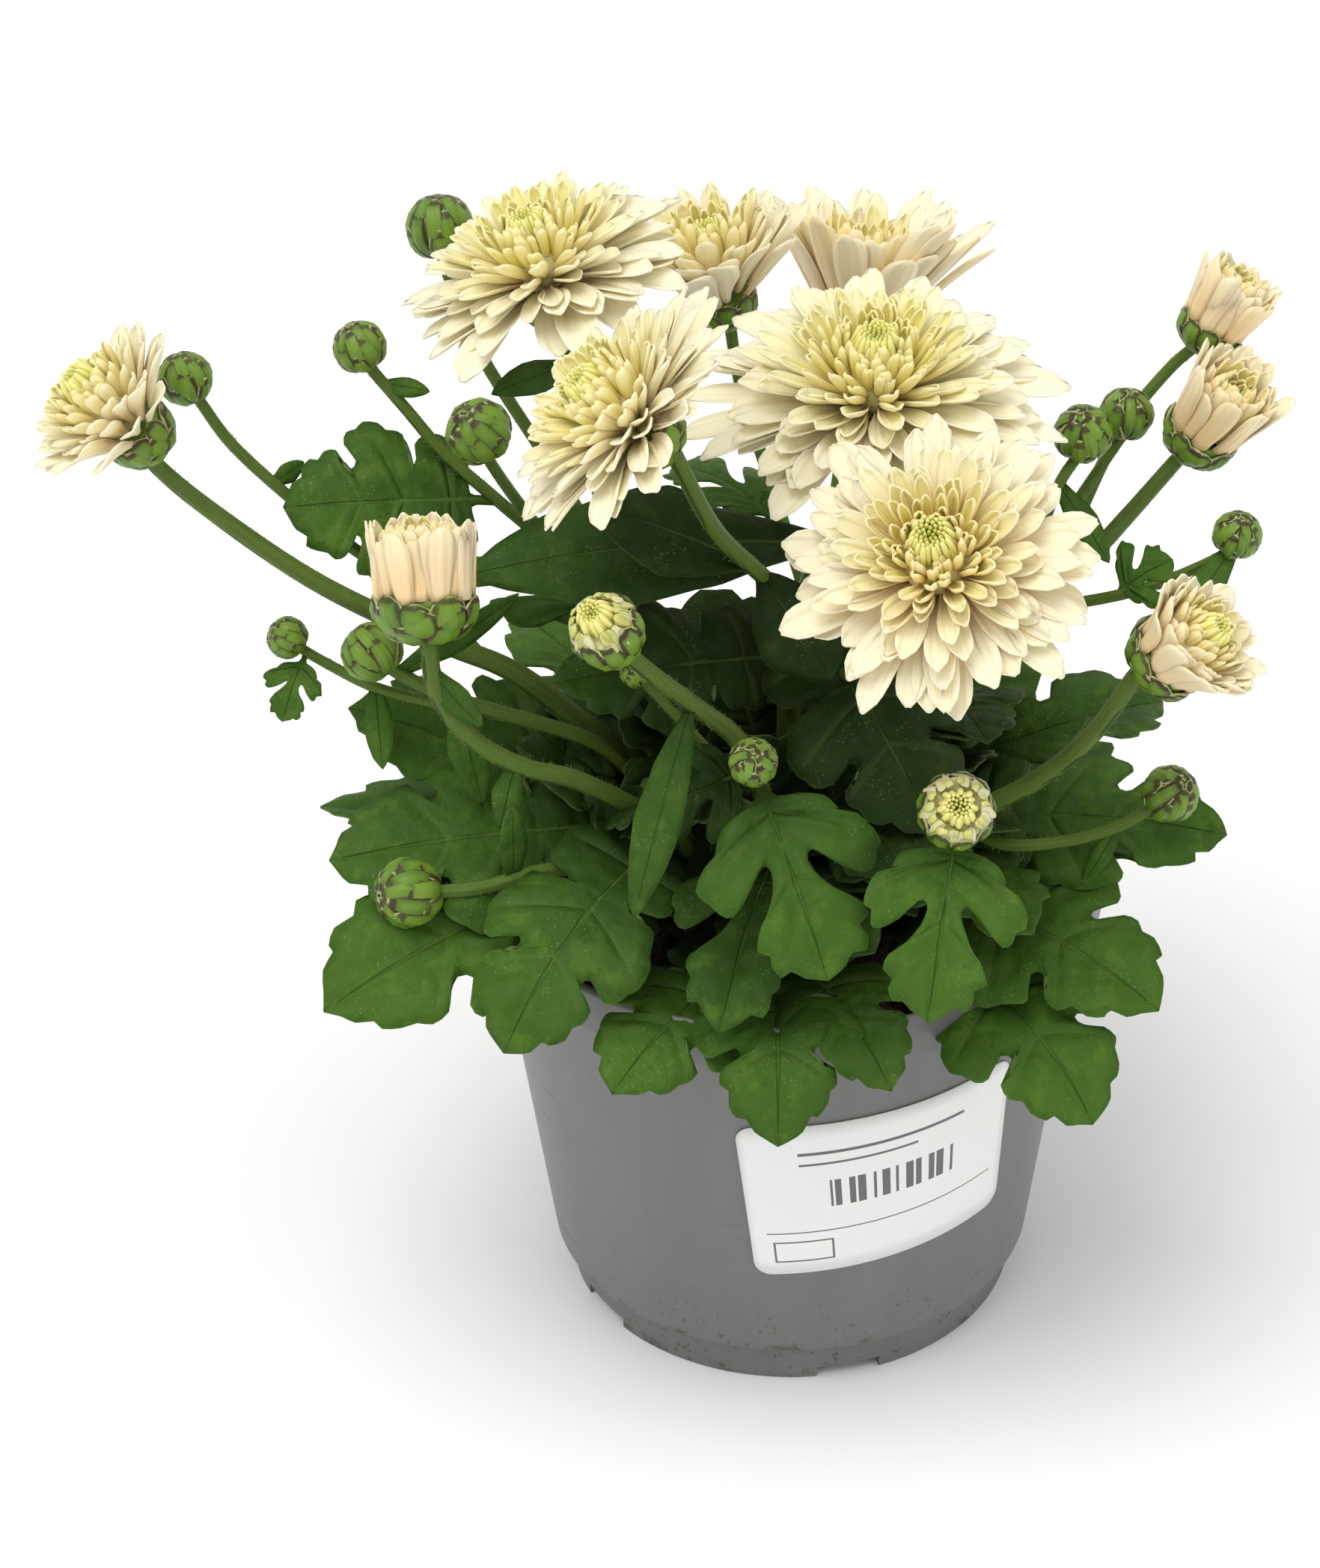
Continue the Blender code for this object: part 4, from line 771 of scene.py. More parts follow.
class Growth:
    """A bmesh in millimetres whose vertices carry their place on their sheet, its tone and its side."""

    def __init__(self):
        self.shape = bmesh.new()
        self.place = self.shape.verts.layers.float_vector.new("place")
        self.tone = self.shape.verts.layers.float_vector.new("tone")
        self.lean = self.shape.verts.layers.float_vector.new("lean")
        self.back = self.shape.verts.layers.float.new("back")

    def sheet(self, columns, rows, put, tone, merge=False):
        """A grid whose vertices are put by their share across, from -1 to 1, and along, from 0 to 1."""
        made = bmesh.ops.create_grid(self.shape, x_segments=columns, y_segments=rows, size=1.0)["verts"]
        for vertex in made:
            vertex.co, vertex[self.place] = put(vertex.co.x, (vertex.co.y + 1) / 2)
            vertex[self.tone] = tone
        if merge:
            bmesh.ops.remove_doubles(self.shape, verts=made, dist=MERGE)

    def thicken(self, thickness):
        """Gives every open sheet its thickness, on the side away from its upper face."""
        self.shape.normal_update()
        for vertex in self.shape.verts:
            vertex[self.lean] = vertex.normal
        faces = self.shape.faces[:]
        for part in bmesh.ops.extrude_face_region(self.shape, geom=faces, use_keep_orig=True)["geom"]:
            if isinstance(part, bmesh.types.BMVert):
                part[self.back] = 1.0
                part.co -= part[self.lean] * thickness

    def tube(self, points, radii, sides, step, tone, ribs=0.0):
        """A tapering tube along the smooth curve through these points, with ribs this high for its radius."""
        side = (points[-1] - points[0]).cross(Vector((0.31, 0.22, 1.0))).normalized()

        def put(across, along):
            ahead = heading(points, along)
            out = ahead.cross(side).normalized()
            angle = (across + 1) * pi
            radius = mix(*radii, along) * (1 + ribs * cos(angle * 5))
            arm = out * cos(angle) + ahead.cross(out) * sin(angle)
            return spline(points, along) + arm * radius, (across, along, 0.0)

        self.sheet(sides, max(3, round(run(points) / step)), put, tone, merge=True)

    def ball(self, turn, sides, rings, size, tone, top=inf, rank=0.0):
        """A ball of this half width and half height, cut level at its top, in the frame that turn gives."""

        def put(across, along):
            rise = (along - 0.5) * pi
            level = min(size[1] * sin(rise), top)
            return turn @ polar(size[0] * cos(rise), (across + 1) * pi, level), (0.0, along, rank)

        self.sheet(sides, rings, put, tone, merge=True)

    def hairs(self, roots, length, draw):
        """Three-sided spikes at these roots: rows of one long grid, with every second row taken out."""
        rows = 2 * len(roots) - 1
        made = bmesh.ops.create_grid(self.shape, x_segments=3, y_segments=rows, size=1.0)["verts"]
        row = {vertex: index // 4 for index, vertex in enumerate(made)}
        faces = {face for vertex in made for face in vertex.link_faces}
        between = [face for face in faces if min(row[vertex] for vertex in face.verts) % 2]
        bmesh.ops.delete(self.shape, geom=between, context="FACES")
        for index, (foot, out) in enumerate(roots):
            place = facing_matrix(foot, out)
            long = length * draw.uniform(0.6, 1.2)
            for corner, vertex in enumerate(made[index * 8:index * 8 + 8]):
                end = corner // 4
                turn = Matrix.Rotation(tau * (corner % 4) / 3, 3, "Z")
                vertex.co = place @ (turn @ Vector((HAIR_RADIUS * (1 - end), 0.0, end * long)))
                vertex[self.tone] = (0.5, 0.0, 0.8)
        bmesh.ops.remove_doubles(self.shape, verts=made, dist=MERGE)

    def become(self, name, coat, node):
        """Caps open tubes, turns every face outwards and makes the shape a piece that stands for the node."""
        bmesh.ops.holes_fill(self.shape, edges=[edge for edge in self.shape.edges if edge.is_boundary])
        bmesh.ops.recalc_face_normals(self.shape, faces=self.shape.faces)
        self.shape.verts.layers.float_vector.remove(self.lean)
        finished(name, self.shape, coat, node)


def added(name, data):
    """A new object of this data in the scene."""
    made = bpy.data.objects.new(name, data)
    bpy.context.scene.collection.objects.link(made)
    return made


def meshed(name, shape):
    """A new object of this bmesh, which is used up."""
    mesh = bpy.data.meshes.new(name)
    shape.to_mesh(mesh)
    shape.free()
    return added(name, mesh)


def finished(name, shape, coat, node):
    """Makes a bmesh in millimetres a piece of the object that stands for this node."""
    bmesh.ops.scale(shape, vec=(MM, MM, MM), verts=shape.verts)
    piece = meshed(name, shape)
    piece.data.shade_smooth()
    piece.data.materials.append(coat)
    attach(piece, "root")
    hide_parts(node)
    return piece


def floret(growth, turn, root, length, rises, width, claw, roll, rank, tone, draw):
    """One petal: a rolled claw that widens into a hollowed blade with a round, slightly notched tip."""
    twist = radians(draw.uniform(-20, 20))
    curl = draw.uniform(0.7, 1.4)
    notch = draw.uniform(-0.02, 0.045)
    lean = draw.uniform(-0.14, 0.14)
    spine = [Vector(root)]
    for index in range(SPINE_STEPS):
        rise = radians(mix(*rises, ((index + 0.5) / SPINE_STEPS) ** curl))
        spine.append(spine[-1] + Vector((cos(rise), sin(rise))) * length / SPINE_STEPS)

    def put(across, along):
        share = along * (1.34 - 0.34 * along)
        end = max(share - 0.66, 0.0) / 0.34
        opened = smooth(0.0, 0.6, share)
        half = width / 2 * mix(claw, 1.0, opened) * sqrt(1 - 0.92 * end ** 3)
        share -= end * (0.05 * across * across + notch * (1 - abs(across)) ** 2)
        opened = smooth(0.0, 0.6, share)
        point = spline(spine, share)
        rise = radians(mix(*rises, share ** curl))
        bow = mix(mix(max(roll, CLAW_ROLL), roll, claw), roll, opened)
        side = half * sin(bow * across) / bow
        over = half * (1 - cos(bow * across)) / bow - half * bow * 0.2
        angle = twist * share
        swing = side * cos(angle) - over * sin(angle) + lean * width * share * share
        over = side * sin(angle) + over * cos(angle)
        spot = Vector((point.x - sin(rise) * over, -swing, point.y + cos(rise) * over))
        return turn @ spot, (across, share, rank)

    growth.sheet(4, 9 if length > 9 else 7, put, tone)


def add_eye(growth, middle, height, count, spread, draw):
    """The eye of a head: tiny closed florets, greenest and shortest in the middle."""
    for index in range(count):
        share = sqrt((index + 0.5) / count)
        out = polar(1.0, index * GOLDEN_ANGLE)
        tall = mix(1.7, 2.6, share)
        foot = out * spread * share + Vector((0.0, 0.0, height * 0.97 + tall * 0.6 - 0.5 * share))
        place = middle @ facing_matrix(foot, Vector((0.0, 0.0, 1.0)) - out * 0.3 * share)
        tone = (draw.random(), 0.0, mix(1.0, 0.15, share ** 0.7) * draw.uniform(0.85, 1.1))
        growth.ball(place, 7, 6, (mix(0.4, 0.56, share), tall), tone, rank=1.0)


def build_head(name, settings, coat):
    """A flower head: florets in a golden-angle spiral, from spread outer ones to incurved inner ones."""
    _, _, (cup_radius, _), reach, rises = HEADS[name]
    count, stretch, outer_width, inner_width, inner_length, blush, green, *eye, steep = FLORETS[name]
    reach *= stretch
    turn_to = head_frame(name)
    growth = Growth()
    draw = random.Random(SEED * 31 + len(name) * 7 + count)
    small = name in SMALL_HEADS
    opening = name.startswith("opening")
    heart_radius = cup_radius * HEART_SHARE
    heart_height = min(heart_radius, reach * HEART_HEIGHT_SHARE)
    roots, climb, claw = (1.0, 0.5), (0.05, 1.4), 0.34
    if small:
        heart_height *= 0.6
        roots, climb, claw = (1.0, 0.4), (-0.2, 1.0), 0.72
    if opening:
        roots, claw = (1.08, 0.85), 0.34
    for index in range(count):
        rank = index / (count - 1)
        turn = index * GOLDEN_ANGLE + draw.uniform(-0.2, 0.2)
        radius = heart_radius * mix(*roots, rank)
        height = CLEARANCE + heart_height * mix(*climb, rank)
        if rises[0] > BRUSH_RISE:
            length = reach * mix(1.14, inner_length, rank)
        else:
            length = (reach - radius) * mix(1.0, inner_length, rank ** 0.8)
        length *= draw.uniform(0.8, 1.08)
        bent = rank ** 1.5
        steeper = steep * (1 - bent)
        tilts = [mix(rises[0], rises[2] - 10, bent) + steeper, mix(rises[1], rises[3] + 22, bent) + steeper]
        tilts = [tilt + draw.uniform(-8, 8) for tilt in tilts]
        wide = mix(outer_width, inner_width, rank ** 0.75) * draw.uniform(0.86, 1.1)
        roll = mix(0.5, 1.5, rank) if small else mix(0.7, CLAW_ROLL, smooth(0.15, 0.9, rank))
        place = turn_to @ Matrix.Rotation(turn, 4, "Z")
        tone = (draw.random(), blush, green * draw.uniform(0.7, 1.2))
        floret(growth, place, (radius, height), length, tilts, wide, claw, roll, rank, tone, draw)
    growth.thicken(settings.petal_thickness / MM)
    middle = turn_to @ Matrix.Translation((0.0, 0.0, heart_height + CLEARANCE))
    growth.ball(middle, 16, 10, (heart_radius * 0.94, heart_height), (0.5, blush, 0.5))
    add_eye(growth, middle, heart_height, *eye, draw)
    growth.become(name + "_petals", coat, name)


def scale_leaf(growth, turn, size, around, angles, half, lift, tone, flare):
    """One scale of a bud or cup, laid on the egg of this radius and height."""

    def put(across, along):
        angle = radians(mix(*angles, along))
        end = max(along - 0.5, 0.0) / 0.5
        wide = mix(0.6, 1.0, smooth(0.0, 0.45, along)) * sqrt(1 - 0.97 * end ** 2.4)
        arc = across * half * wide / max(sin(angle), 0.3)
        keel = 0.12 * (1 - abs(across) ** 1.5) * sin(pi * min(along * 1.05, 1.0))
        swell = 1 + lift * (0.4 + 0.6 * along) + keel + flare * smooth(0.6, 1.0, along)
        level = -size[1] * cos(angle) * swell
        return turn @ polar(size[0] * sin(angle) * swell, around + arc, level), (across, along, 1.0)

    growth.sheet(4, 6, put, tone)


def build_buds(name, settings, coat):
    """Green cups under the heads and closed buds, clad in overlapping scales."""
    growth = Growth()
    draw = random.Random(SEED * 13 + len(name))
    eggs = []
    for head in CARRIES[name]:
        radius, depth = HEADS[head][2]
        if head.startswith("opening"):
            rows, flare = OPENING_CUP_ROWS, -0.07
        else:
            rows, flare = CUP_ROWS, 0.0
            depth *= 0.8 if head in SMALL_HEADS else 1.0
        eggs.append((head_frame(head), (radius * CUP_SHARE, depth), rows, flare))
    for centre, facing, radius in STEMS[name]["buds"]:
        size = (radius * BUD_SHARE, radius * BUD_SHARE)
        eggs.append((facing_matrix(placed(*centre), placed(*facing)), size, BUD_ROWS, 0.0))
    for turn, size, rows, flare in eggs:
        for row, (count, low, high, half) in enumerate(rows):
            for index in range(count):
                around = tau * (index + 0.5 * (row % 2)) / count + draw.uniform(-0.1, 0.1)
                angles = (low, high + draw.uniform(-7, 7))
                tone = (draw.random(), draw.random(), 0.0)
                wide = half * draw.uniform(0.9, 1.1)
                scale_leaf(growth, turn, size, around, angles, wide, 0.13 - 0.025 * row, tone, flare)
    growth.thicken(settings.scale_thickness / MM)
    for turn, size, rows, _ in eggs:
        core = [value * 0.95 for value in size]
        growth.ball(turn, 16, 12, core, (0.5, 0.0, 0.0), inf if rows is BUD_ROWS else CUP_RIM)
    growth.become(name + "_buds", coat, name)


def uneven(half, draw):
    """A leaf's half outline with its teeth a little out of place, as vectors."""
    points = []
    for across, along, rib, vein in half:
        across *= 1 + draw.uniform(-0.04, 0.04)
        points.append(Vector((across, along + draw.uniform(-0.006, 0.006) * (0 < along < 1), rib, vein)))
    return points


def leaf(growth, base, tip, rise, bend, face, width, outline, tone, draw):
    """One arched blade. Its rows run out along the side veins, so that the row ends draw lobes and teeth."""
    chord = tip - base
    normal = (face - chord * (face.dot(chord) / chord.length_squared)).normalized()
    crest = base + chord * bend + normal * rise
    halves = [uneven(LEAF_OUTLINES[outline], draw) for _ in range(2)]
    fold = sin(radians(draw.uniform(4, 18)))
    phase = draw.uniform(0, tau)
    ripple = width * draw.uniform(0.02, 0.045)
    droop = width * draw.uniform(0.04, 0.16)

    def at(along, across, lift):
        point = base * (1 - along) ** 2 + crest * (2 * along * (1 - along)) + tip * along**2
        tangent = ((crest - base) * (1 - along) + (tip - crest) * along).normalized()
        side = tangent.cross(normal).normalized()
        return point + side * across + side.cross(tangent) * lift

    def put(across, along):
        reach, end, rib, vein = spline(halves[across > 0], along)
        reach = max(reach, 0.03) if along < 1 else 0.0
        share = abs(across) ** 0.9
        place = min(mix(rib, end, share ** 1.1), 1.0)
        out = copysign(reach * share * width / 2, across)
        taper = min(reach * 3, 1.0)
        wave = ripple * sin(phase + place * 9 + (across > 0) * 2) * share**2 * taper
        quilt = width * 0.026 * (1 - vein) * sin(pi * share) * (width > YOUNG_LEAF) * taper
        lift = abs(out) * fold + wave + quilt - droop * (out / (width / 2)) ** 2
        return at(place, out, lift), (share, place, max(vein, 0.0))

    broad = width > SMALL_LEAF
    rows = (len(halves[0]) - 1) * (2 if broad else 1)
    growth.sheet(8 if broad else 4, rows, put, tone, merge=True)
    return [at(share, 0.0, -RIDGE_DEPTH) for share in RIDGE_SHARES]


def inner_leaves(name, draw):
    """Smaller leaves low in the plant, which close the gaps between the stems."""
    right, back = STEMS[name]["foot"]
    outwards = atan2(back, right)
    for index in range(INNER_LEAVES):
        turn = outwards + draw.uniform(-1.3, 1.3)
        out = draw.uniform(26, 46)
        tip = (out * cos(turn), out * sin(turn), draw.uniform(*INNER_LEVELS) - out * 0.2)
        yield 0, draw.uniform(0.02, 0.3), tip, draw.uniform(5, 10), 0.5, UP, draw.uniform(22, 30), "lobed"


def build_leaves(name, settings, coat):
    """All blades of a stem, with the ridges that stand out under them."""
    growth = Growth()
    draw = random.Random(SEED * 17 + len(name) * 3)
    routes = [stalk_route(name, index) for index in range(len(STEMS[name]["stalks"]))]
    rows = [*STEMS[name]["leaves"], *inner_leaves(name, draw)]
    ridges = []
    for stalk, share, tip, rise, bend, face, width, outline in rows:
        base = spline(routes[stalk], share)
        # Leaves near the pot's axis get less of the young green, painted shade of the plant's inside; small
        # leaves are young and lighter
        young = smooth(*SHADED_TO_LIT_REACH, hypot(*tip[:2])) * draw.uniform(0.6, 1.15)
        if width < YOUNG_LEAF:
            young = mix(young, 1.0, 0.4)
        tone = (draw.random(), young, 0.0)
        points = leaf(growth, base, placed(*tip), rise, bend, placed(*face), width, outline, tone, draw)
        if width > SMALL_LEAF:
            ridges.append((points, width, tone))
    growth.thicken(settings.leaf_thickness / MM)
    for points, width, tone in ridges:
        growth.tube(points, (0.35 + width * 0.018, 0.2), 7, 5.0, tone)
    growth.become(name + "_leaves", coat, name)


def build_stalks(name, settings, coat):
    """A stem's ribbed stalks with fine hairs."""
    growth = Growth()
    draw = random.Random(SEED * 19 + len(name))
    hairs = []
    for index, (start, end, _) in enumerate(STEMS[name]["stalks"]):
        route = stalk_route(name, index)
        brown = 0.1 if index else 0.24
        growth.tube(route, (start, end), 15, 2.2, (draw.random(), brown, 0.0), ribs=0.05)
        for _ in range(round(run(route) * settings.hairs_per_mm)):
            share = draw.uniform(0.02, 0.98)
            ahead = heading(route, share)
            out = ahead.cross(Vector([draw.gauss(0, 1) for _ in range(3)])).normalized()
            foot = spline(route, share) + out * mix(start, end, share) * 0.97
            hairs.append((foot, out + ahead * draw.uniform(0.0, 0.6)))
    growth.hairs(hairs, settings.hair_length / MM, draw)
    growth.become(name + "_stalks", coat, name)


def turned(profile, steps):
    """A solid of revolution from a closed profile in millimetres, outer side first, top to bottom."""
    shape = bmesh.new()
    ring = [shape.verts.new((radius, 0.0, height)) for radius, height in profile]
    line = [shape.edges.new(pair) for pair in zip(ring, ring[1:] + ring[:1]) if max(v.co.x for v in pair) > 0]
    bmesh.ops.spin(
        shape, geom=ring + line, cent=(0, 0, 0), axis=(0, 0, 1), dvec=(0, 0, 0),
        angle=tau, steps=steps, use_merge=True, use_duplicate=False,
    )
    bmesh.ops.remove_doubles(shape, verts=shape.verts, dist=MERGE)
    bmesh.ops.recalc_face_normals(shape, faces=shape.faces)
    return shape


def cut_out(shape, cutters):
    """The bmesh with these others cut out of it."""
    holders = [meshed("cutting", made) for made in (shape, *cutters)]
    for cutter in holders[1:]:
        cut = holders[0].modifiers.new("cut", "BOOLEAN")
        cut.operation = "DIFFERENCE"
        cut.object = cutter
    result = bmesh.new()
    graph = bpy.context.evaluated_depsgraph_get()
    result.from_mesh(holders[0].evaluated_get(graph).to_mesh())
    for holder in holders:
        mesh = holder.data
        bpy.data.objects.remove(holder, do_unlink=True)
        bpy.data.meshes.remove(mesh)
    return result


def build_pot(name, settings, coat):
    """The grower's pot: a thin wall, a deep rim band, and a notched foot ring with drain holes inside it."""
    band = POT_HEIGHT - BAND_HEIGHT
    floor = FLOOR_UNDERSIDE + FLOOR_THICKNESS
    profile = (
        (RIM_RADIUS - 0.5, POT_HEIGHT),
        (RIM_RADIUS, POT_HEIGHT - 0.7),
        (RIM_RADIUS - 0.2, band + 0.3),
        (RIM_RADIUS - 0.7, band - 0.15),
        (RIM_RADIUS - BAND_STEP, band - 0.4),
        (WALL_FOOT_RADIUS, FOOT_HEIGHT + 0.6),
        (FOOT_RADIUS + 0.2, FOOT_HEIGHT - 0.6),
        (FOOT_RADIUS - 0.2, 0.0),
        (FOOT_RADIUS - FOOT_RING_WIDTH, 0.0),
        (FOOT_RADIUS - FOOT_RING_WIDTH - 0.3, FLOOR_UNDERSIDE),
        (0.0, FLOOR_UNDERSIDE),
        (0.0, floor),
        (FOOT_RADIUS - WALL - 0.4, floor),
        (WALL_FOOT_RADIUS - WALL, FOOT_HEIGHT + 1.6),
        (RIM_RADIUS - BAND_STEP - WALL, band - 0.2),
        (RIM_RADIUS - WALL - 0.2, band + 1.0),
        (RIM_RADIUS - WALL, POT_HEIGHT),
    )
    pot = turned(profile, settings.pot_steps)
    rims = []
    for edge in pot.edges:
        a, b = edge.verts
        level = abs(a.co.z - b.co.z) < MERGE and abs(a.co.xy.length - b.co.xy.length) < MERGE
        if level and a.co.xy.length > FLOOR_ZONE and edge.calc_face_angle(0.0) > radians(EDGE_ANGLE):
            rims.append(edge)
    bmesh.ops.bevel(
        pot, geom=rims, offset=EDGE_BEVEL, segments=2, profile=0.5, affect="EDGES", material=-1
    )
    cutters = []
    for index in range(DRAIN_HOLES):
        angle = tau * (index + 0.5) / DRAIN_HOLES
        drill = bmesh.new()
        bmesh.ops.create_cone(
            drill, cap_ends=True, segments=28, radius1=DRAIN_RADIUS, radius2=DRAIN_RADIUS,
            depth=12.0, matrix=Matrix.Translation(polar(DRAIN_CIRCLE, angle, floor / 2)),
        )
        cutters.append(drill)
    for index in range(NOTCHES):
        angle = tau * index / NOTCHES + radians(NOTCH_START)
        place = Matrix.Rotation(angle, 4, "Z") @ Matrix.Translation((FOOT_RADIUS - FOOT_RING_WIDTH / 2, 0, 0))
        saw = bmesh.new()
        bmesh.ops.create_cube(saw, size=1.0, matrix=place @ Matrix.Diagonal((*NOTCH_SIZE, 1.0)))
        cutters.append(saw)
    piece = finished(name, cut_out(pot, cutters), coat, "pot")
    piece.data.set_sharp_from_angle(angle=radians(SHARP_ANGLE))


def build_label(name, settings, coat):
    """The sticker: a rounded sheet bent round the pot's wall, set a little askew."""
    growth = Growth()
    shape = growth.shape
    bmesh.ops.create_grid(shape, x_segments=1, y_segments=1, size=0.5)
    bmesh.ops.scale(shape, vec=(LABEL_WIDTH, LABEL_HEIGHT, 1.0), verts=shape.verts)
    bmesh.ops.bevel(
        shape, geom=shape.verts[:], offset=LABEL_CORNER, segments=7, profile=0.5,
        affect="VERTICES", material=-1,
    )
    for axis, half, count in (
        ((1, 0, 0), LABEL_WIDTH / 2, LABEL_COLUMNS),
        ((0, 1, 0), LABEL_HEIGHT / 2, LABEL_ROWS),
    ):
        for index in range(1, count):
            point = Vector(axis) * mix(-half, half, index / count)
            everything = shape.faces[:] + shape.edges[:] + shape.verts[:]
            bmesh.ops.bisect_plane(shape, geom=everything, plane_co=point, plane_no=axis)
    turn = Matrix.Rotation(radians(LABEL_TILT), 2)
    for vertex in shape.verts:
        across, up = vertex.co.xy
        vertex[growth.place] = (across / LABEL_WIDTH, up / LABEL_HEIGHT, 0.0)
        askew = turn @ Vector((across, up))
        z = LABEL_MIDDLE + askew.y
        radius = wall_radius(z) + LABEL_RADIUS_GAP
        angle = radians(LABEL_CENTRE) + askew.x / wall_radius(LABEL_MIDDLE)
        vertex.co = placed(*polar(radius, angle, z))
    growth.thicken(settings.paper_thickness / MM)
    growth.become(name, coat, "label")


def build_soil(name, settings, coat):
    """The peat that fills the pot, uneven on top and strewn with crumbs."""
    edge = wall_radius(SOIL_EDGE) - WALL - 0.15
    rim = SOIL_EDGE + 0.6
    floor = FLOOR_UNDERSIDE + FLOOR_THICKNESS + CLEARANCE
    profile = [(0.0, SOIL_CROWN)]
    shares = [index / 12 for index in range(1, 12)]
    profile += [(edge * share, mix(SOIL_CROWN, rim, share**2)) for share in shares]
    profile += [
        (edge, SOIL_EDGE),
        (wall_radius(FOOT_HEIGHT + 3.0) - WALL - 0.4, FOOT_HEIGHT + 3.0),
        (FOOT_RADIUS - WALL - 1.6, floor),
        (0.0, floor),
    ]
    shape = turned(profile, SOIL_STEPS)
    for vertex in shape.verts:
        if vertex.co.z > SOIL_EDGE + 0.1:
            vertex.co.z += noise.noise(vertex.co * 0.22) * 1.6 + noise.noise(vertex.co * 0.8) * 0.7
    draw = random.Random(SEED)
    for _ in range(CRUMBS):
        radius = (edge - 2.5) * sqrt(draw.random())
        angle = draw.uniform(0, tau)
        spot = polar(radius, angle, mix(SOIL_CROWN, rim, (radius / edge) ** 2) + 0.3)
        turn = Matrix.Rotation(draw.uniform(0, tau), 4, Vector((draw.gauss(0, 1), draw.gauss(0, 1), 1)))
        size = Matrix.Diagonal((draw.uniform(0.5, 2.0), draw.uniform(0.4, 1.3), draw.uniform(0.4, 1.0), 1.0))
        place = Matrix.Translation(spot) @ turn @ size
        bmesh.ops.create_icosphere(shape, subdivisions=1, radius=1.0, matrix=place)
    finished(name, shape, coat, "soil")


def build_stage(name, settings, coat):
    """A pale floor, soft lights and the camera at the photo's angle."""
    scene = bpy.context.scene
    shape = bmesh.new()
    bmesh.ops.create_grid(shape, x_segments=2, y_segments=2, size=settings.floor_size / 2)
    floor = meshed(name, shape)
    floor.data.materials.append(coat)
    floor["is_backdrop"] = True
    scene.world = bpy.data.worlds.new("studio")
    scene.world.use_nodes = True
    sky = scene.world.node_tree.nodes["Background"]
    sky.inputs["Color"].default_value = (1.0, 1.0, 1.0, 1.0)
    sky.inputs["Strength"].default_value = settings.fill
    for light, (towards, angle, share) in LIGHTS.items():
        lamp = bpy.data.lights.new(light, "SUN")
        lamp.angle = radians(angle)
        lamp.energy = settings.key * share
        added(light, lamp).matrix_world = facing_matrix(Vector((0.0, 0.0, 1.0)), -placed(*towards))
    scene.view_settings.view_transform = "Standard"
    camera_data = bpy.data.cameras.new("camera")
    camera_data.sensor_width = CAMERA_SENSOR
    camera_data.lens = CAMERA_LENS
    scene.camera = added("camera", camera_data)
    scene.camera.matrix_world = camera_place()


def camera_place():
    """Where the photo was taken from: distance, rise and roll about the point it aims at."""
    rise, roll = radians(CAMERA_RISE), radians(CAMERA_ROLL)
    right = Vector((1, 0, 0))
    forward = Vector((0, cos(rise), -sin(rise)))
    up = right.cross(forward)
    tilted_right = right * cos(roll) + up * sin(roll)
    tilted_up = up * cos(roll) - right * sin(roll)
    turn = Matrix((tilted_right, tilted_up, -forward)).transposed().to_4x4()
    turn.translation = Vector(CAMERA_AIM) - forward * CAMERA_DISTANCE
    return Matrix.Rotation(-FRONT_TURN, 4, "Z") @ turn


# Settings


def metres(name, description, default):
    return bpy.props.FloatProperty(
        name=name, description=description, default=default, unit="LENGTH", precision=5
    )


def amount(name, description, default):
    return bpy.props.FloatProperty(name=name, description=description, default=default, min=0.0)


def tint(name, description, default):
    return bpy.props.FloatVectorProperty(
        name=name, description=description, default=default, subtype="COLOR", size=3, min=0.0, max=1.0
    )


class FlowerSettings(bpy.types.PropertyGroup):
    """Petals' thickness and colours."""

    petal_thickness: metres("Petal thickness", "Thickness of every petal", 0.00028)
    ivory: tint("Ivory", "Blades of the outer petals", (0.97, 0.91, 0.63))
    lemon: tint("Lemon", "Petals towards the middle", (0.97, 0.89, 0.31))
    pale: tint("Pale", "Lightest petals", (0.97, 0.93, 0.74))
    peach: tint("Peach", "Roots of the petals", (0.92, 0.58, 0.3))
    blush: tint("Blush", "Backs of young petals", (0.96, 0.66, 0.34))
    shade: tint("Grain", "Fine streaks along the petals", (0.95, 0.91, 0.82))
    eye: tint("Eye", "Tiny florets in the middle", (0.42, 0.46, 0.05))


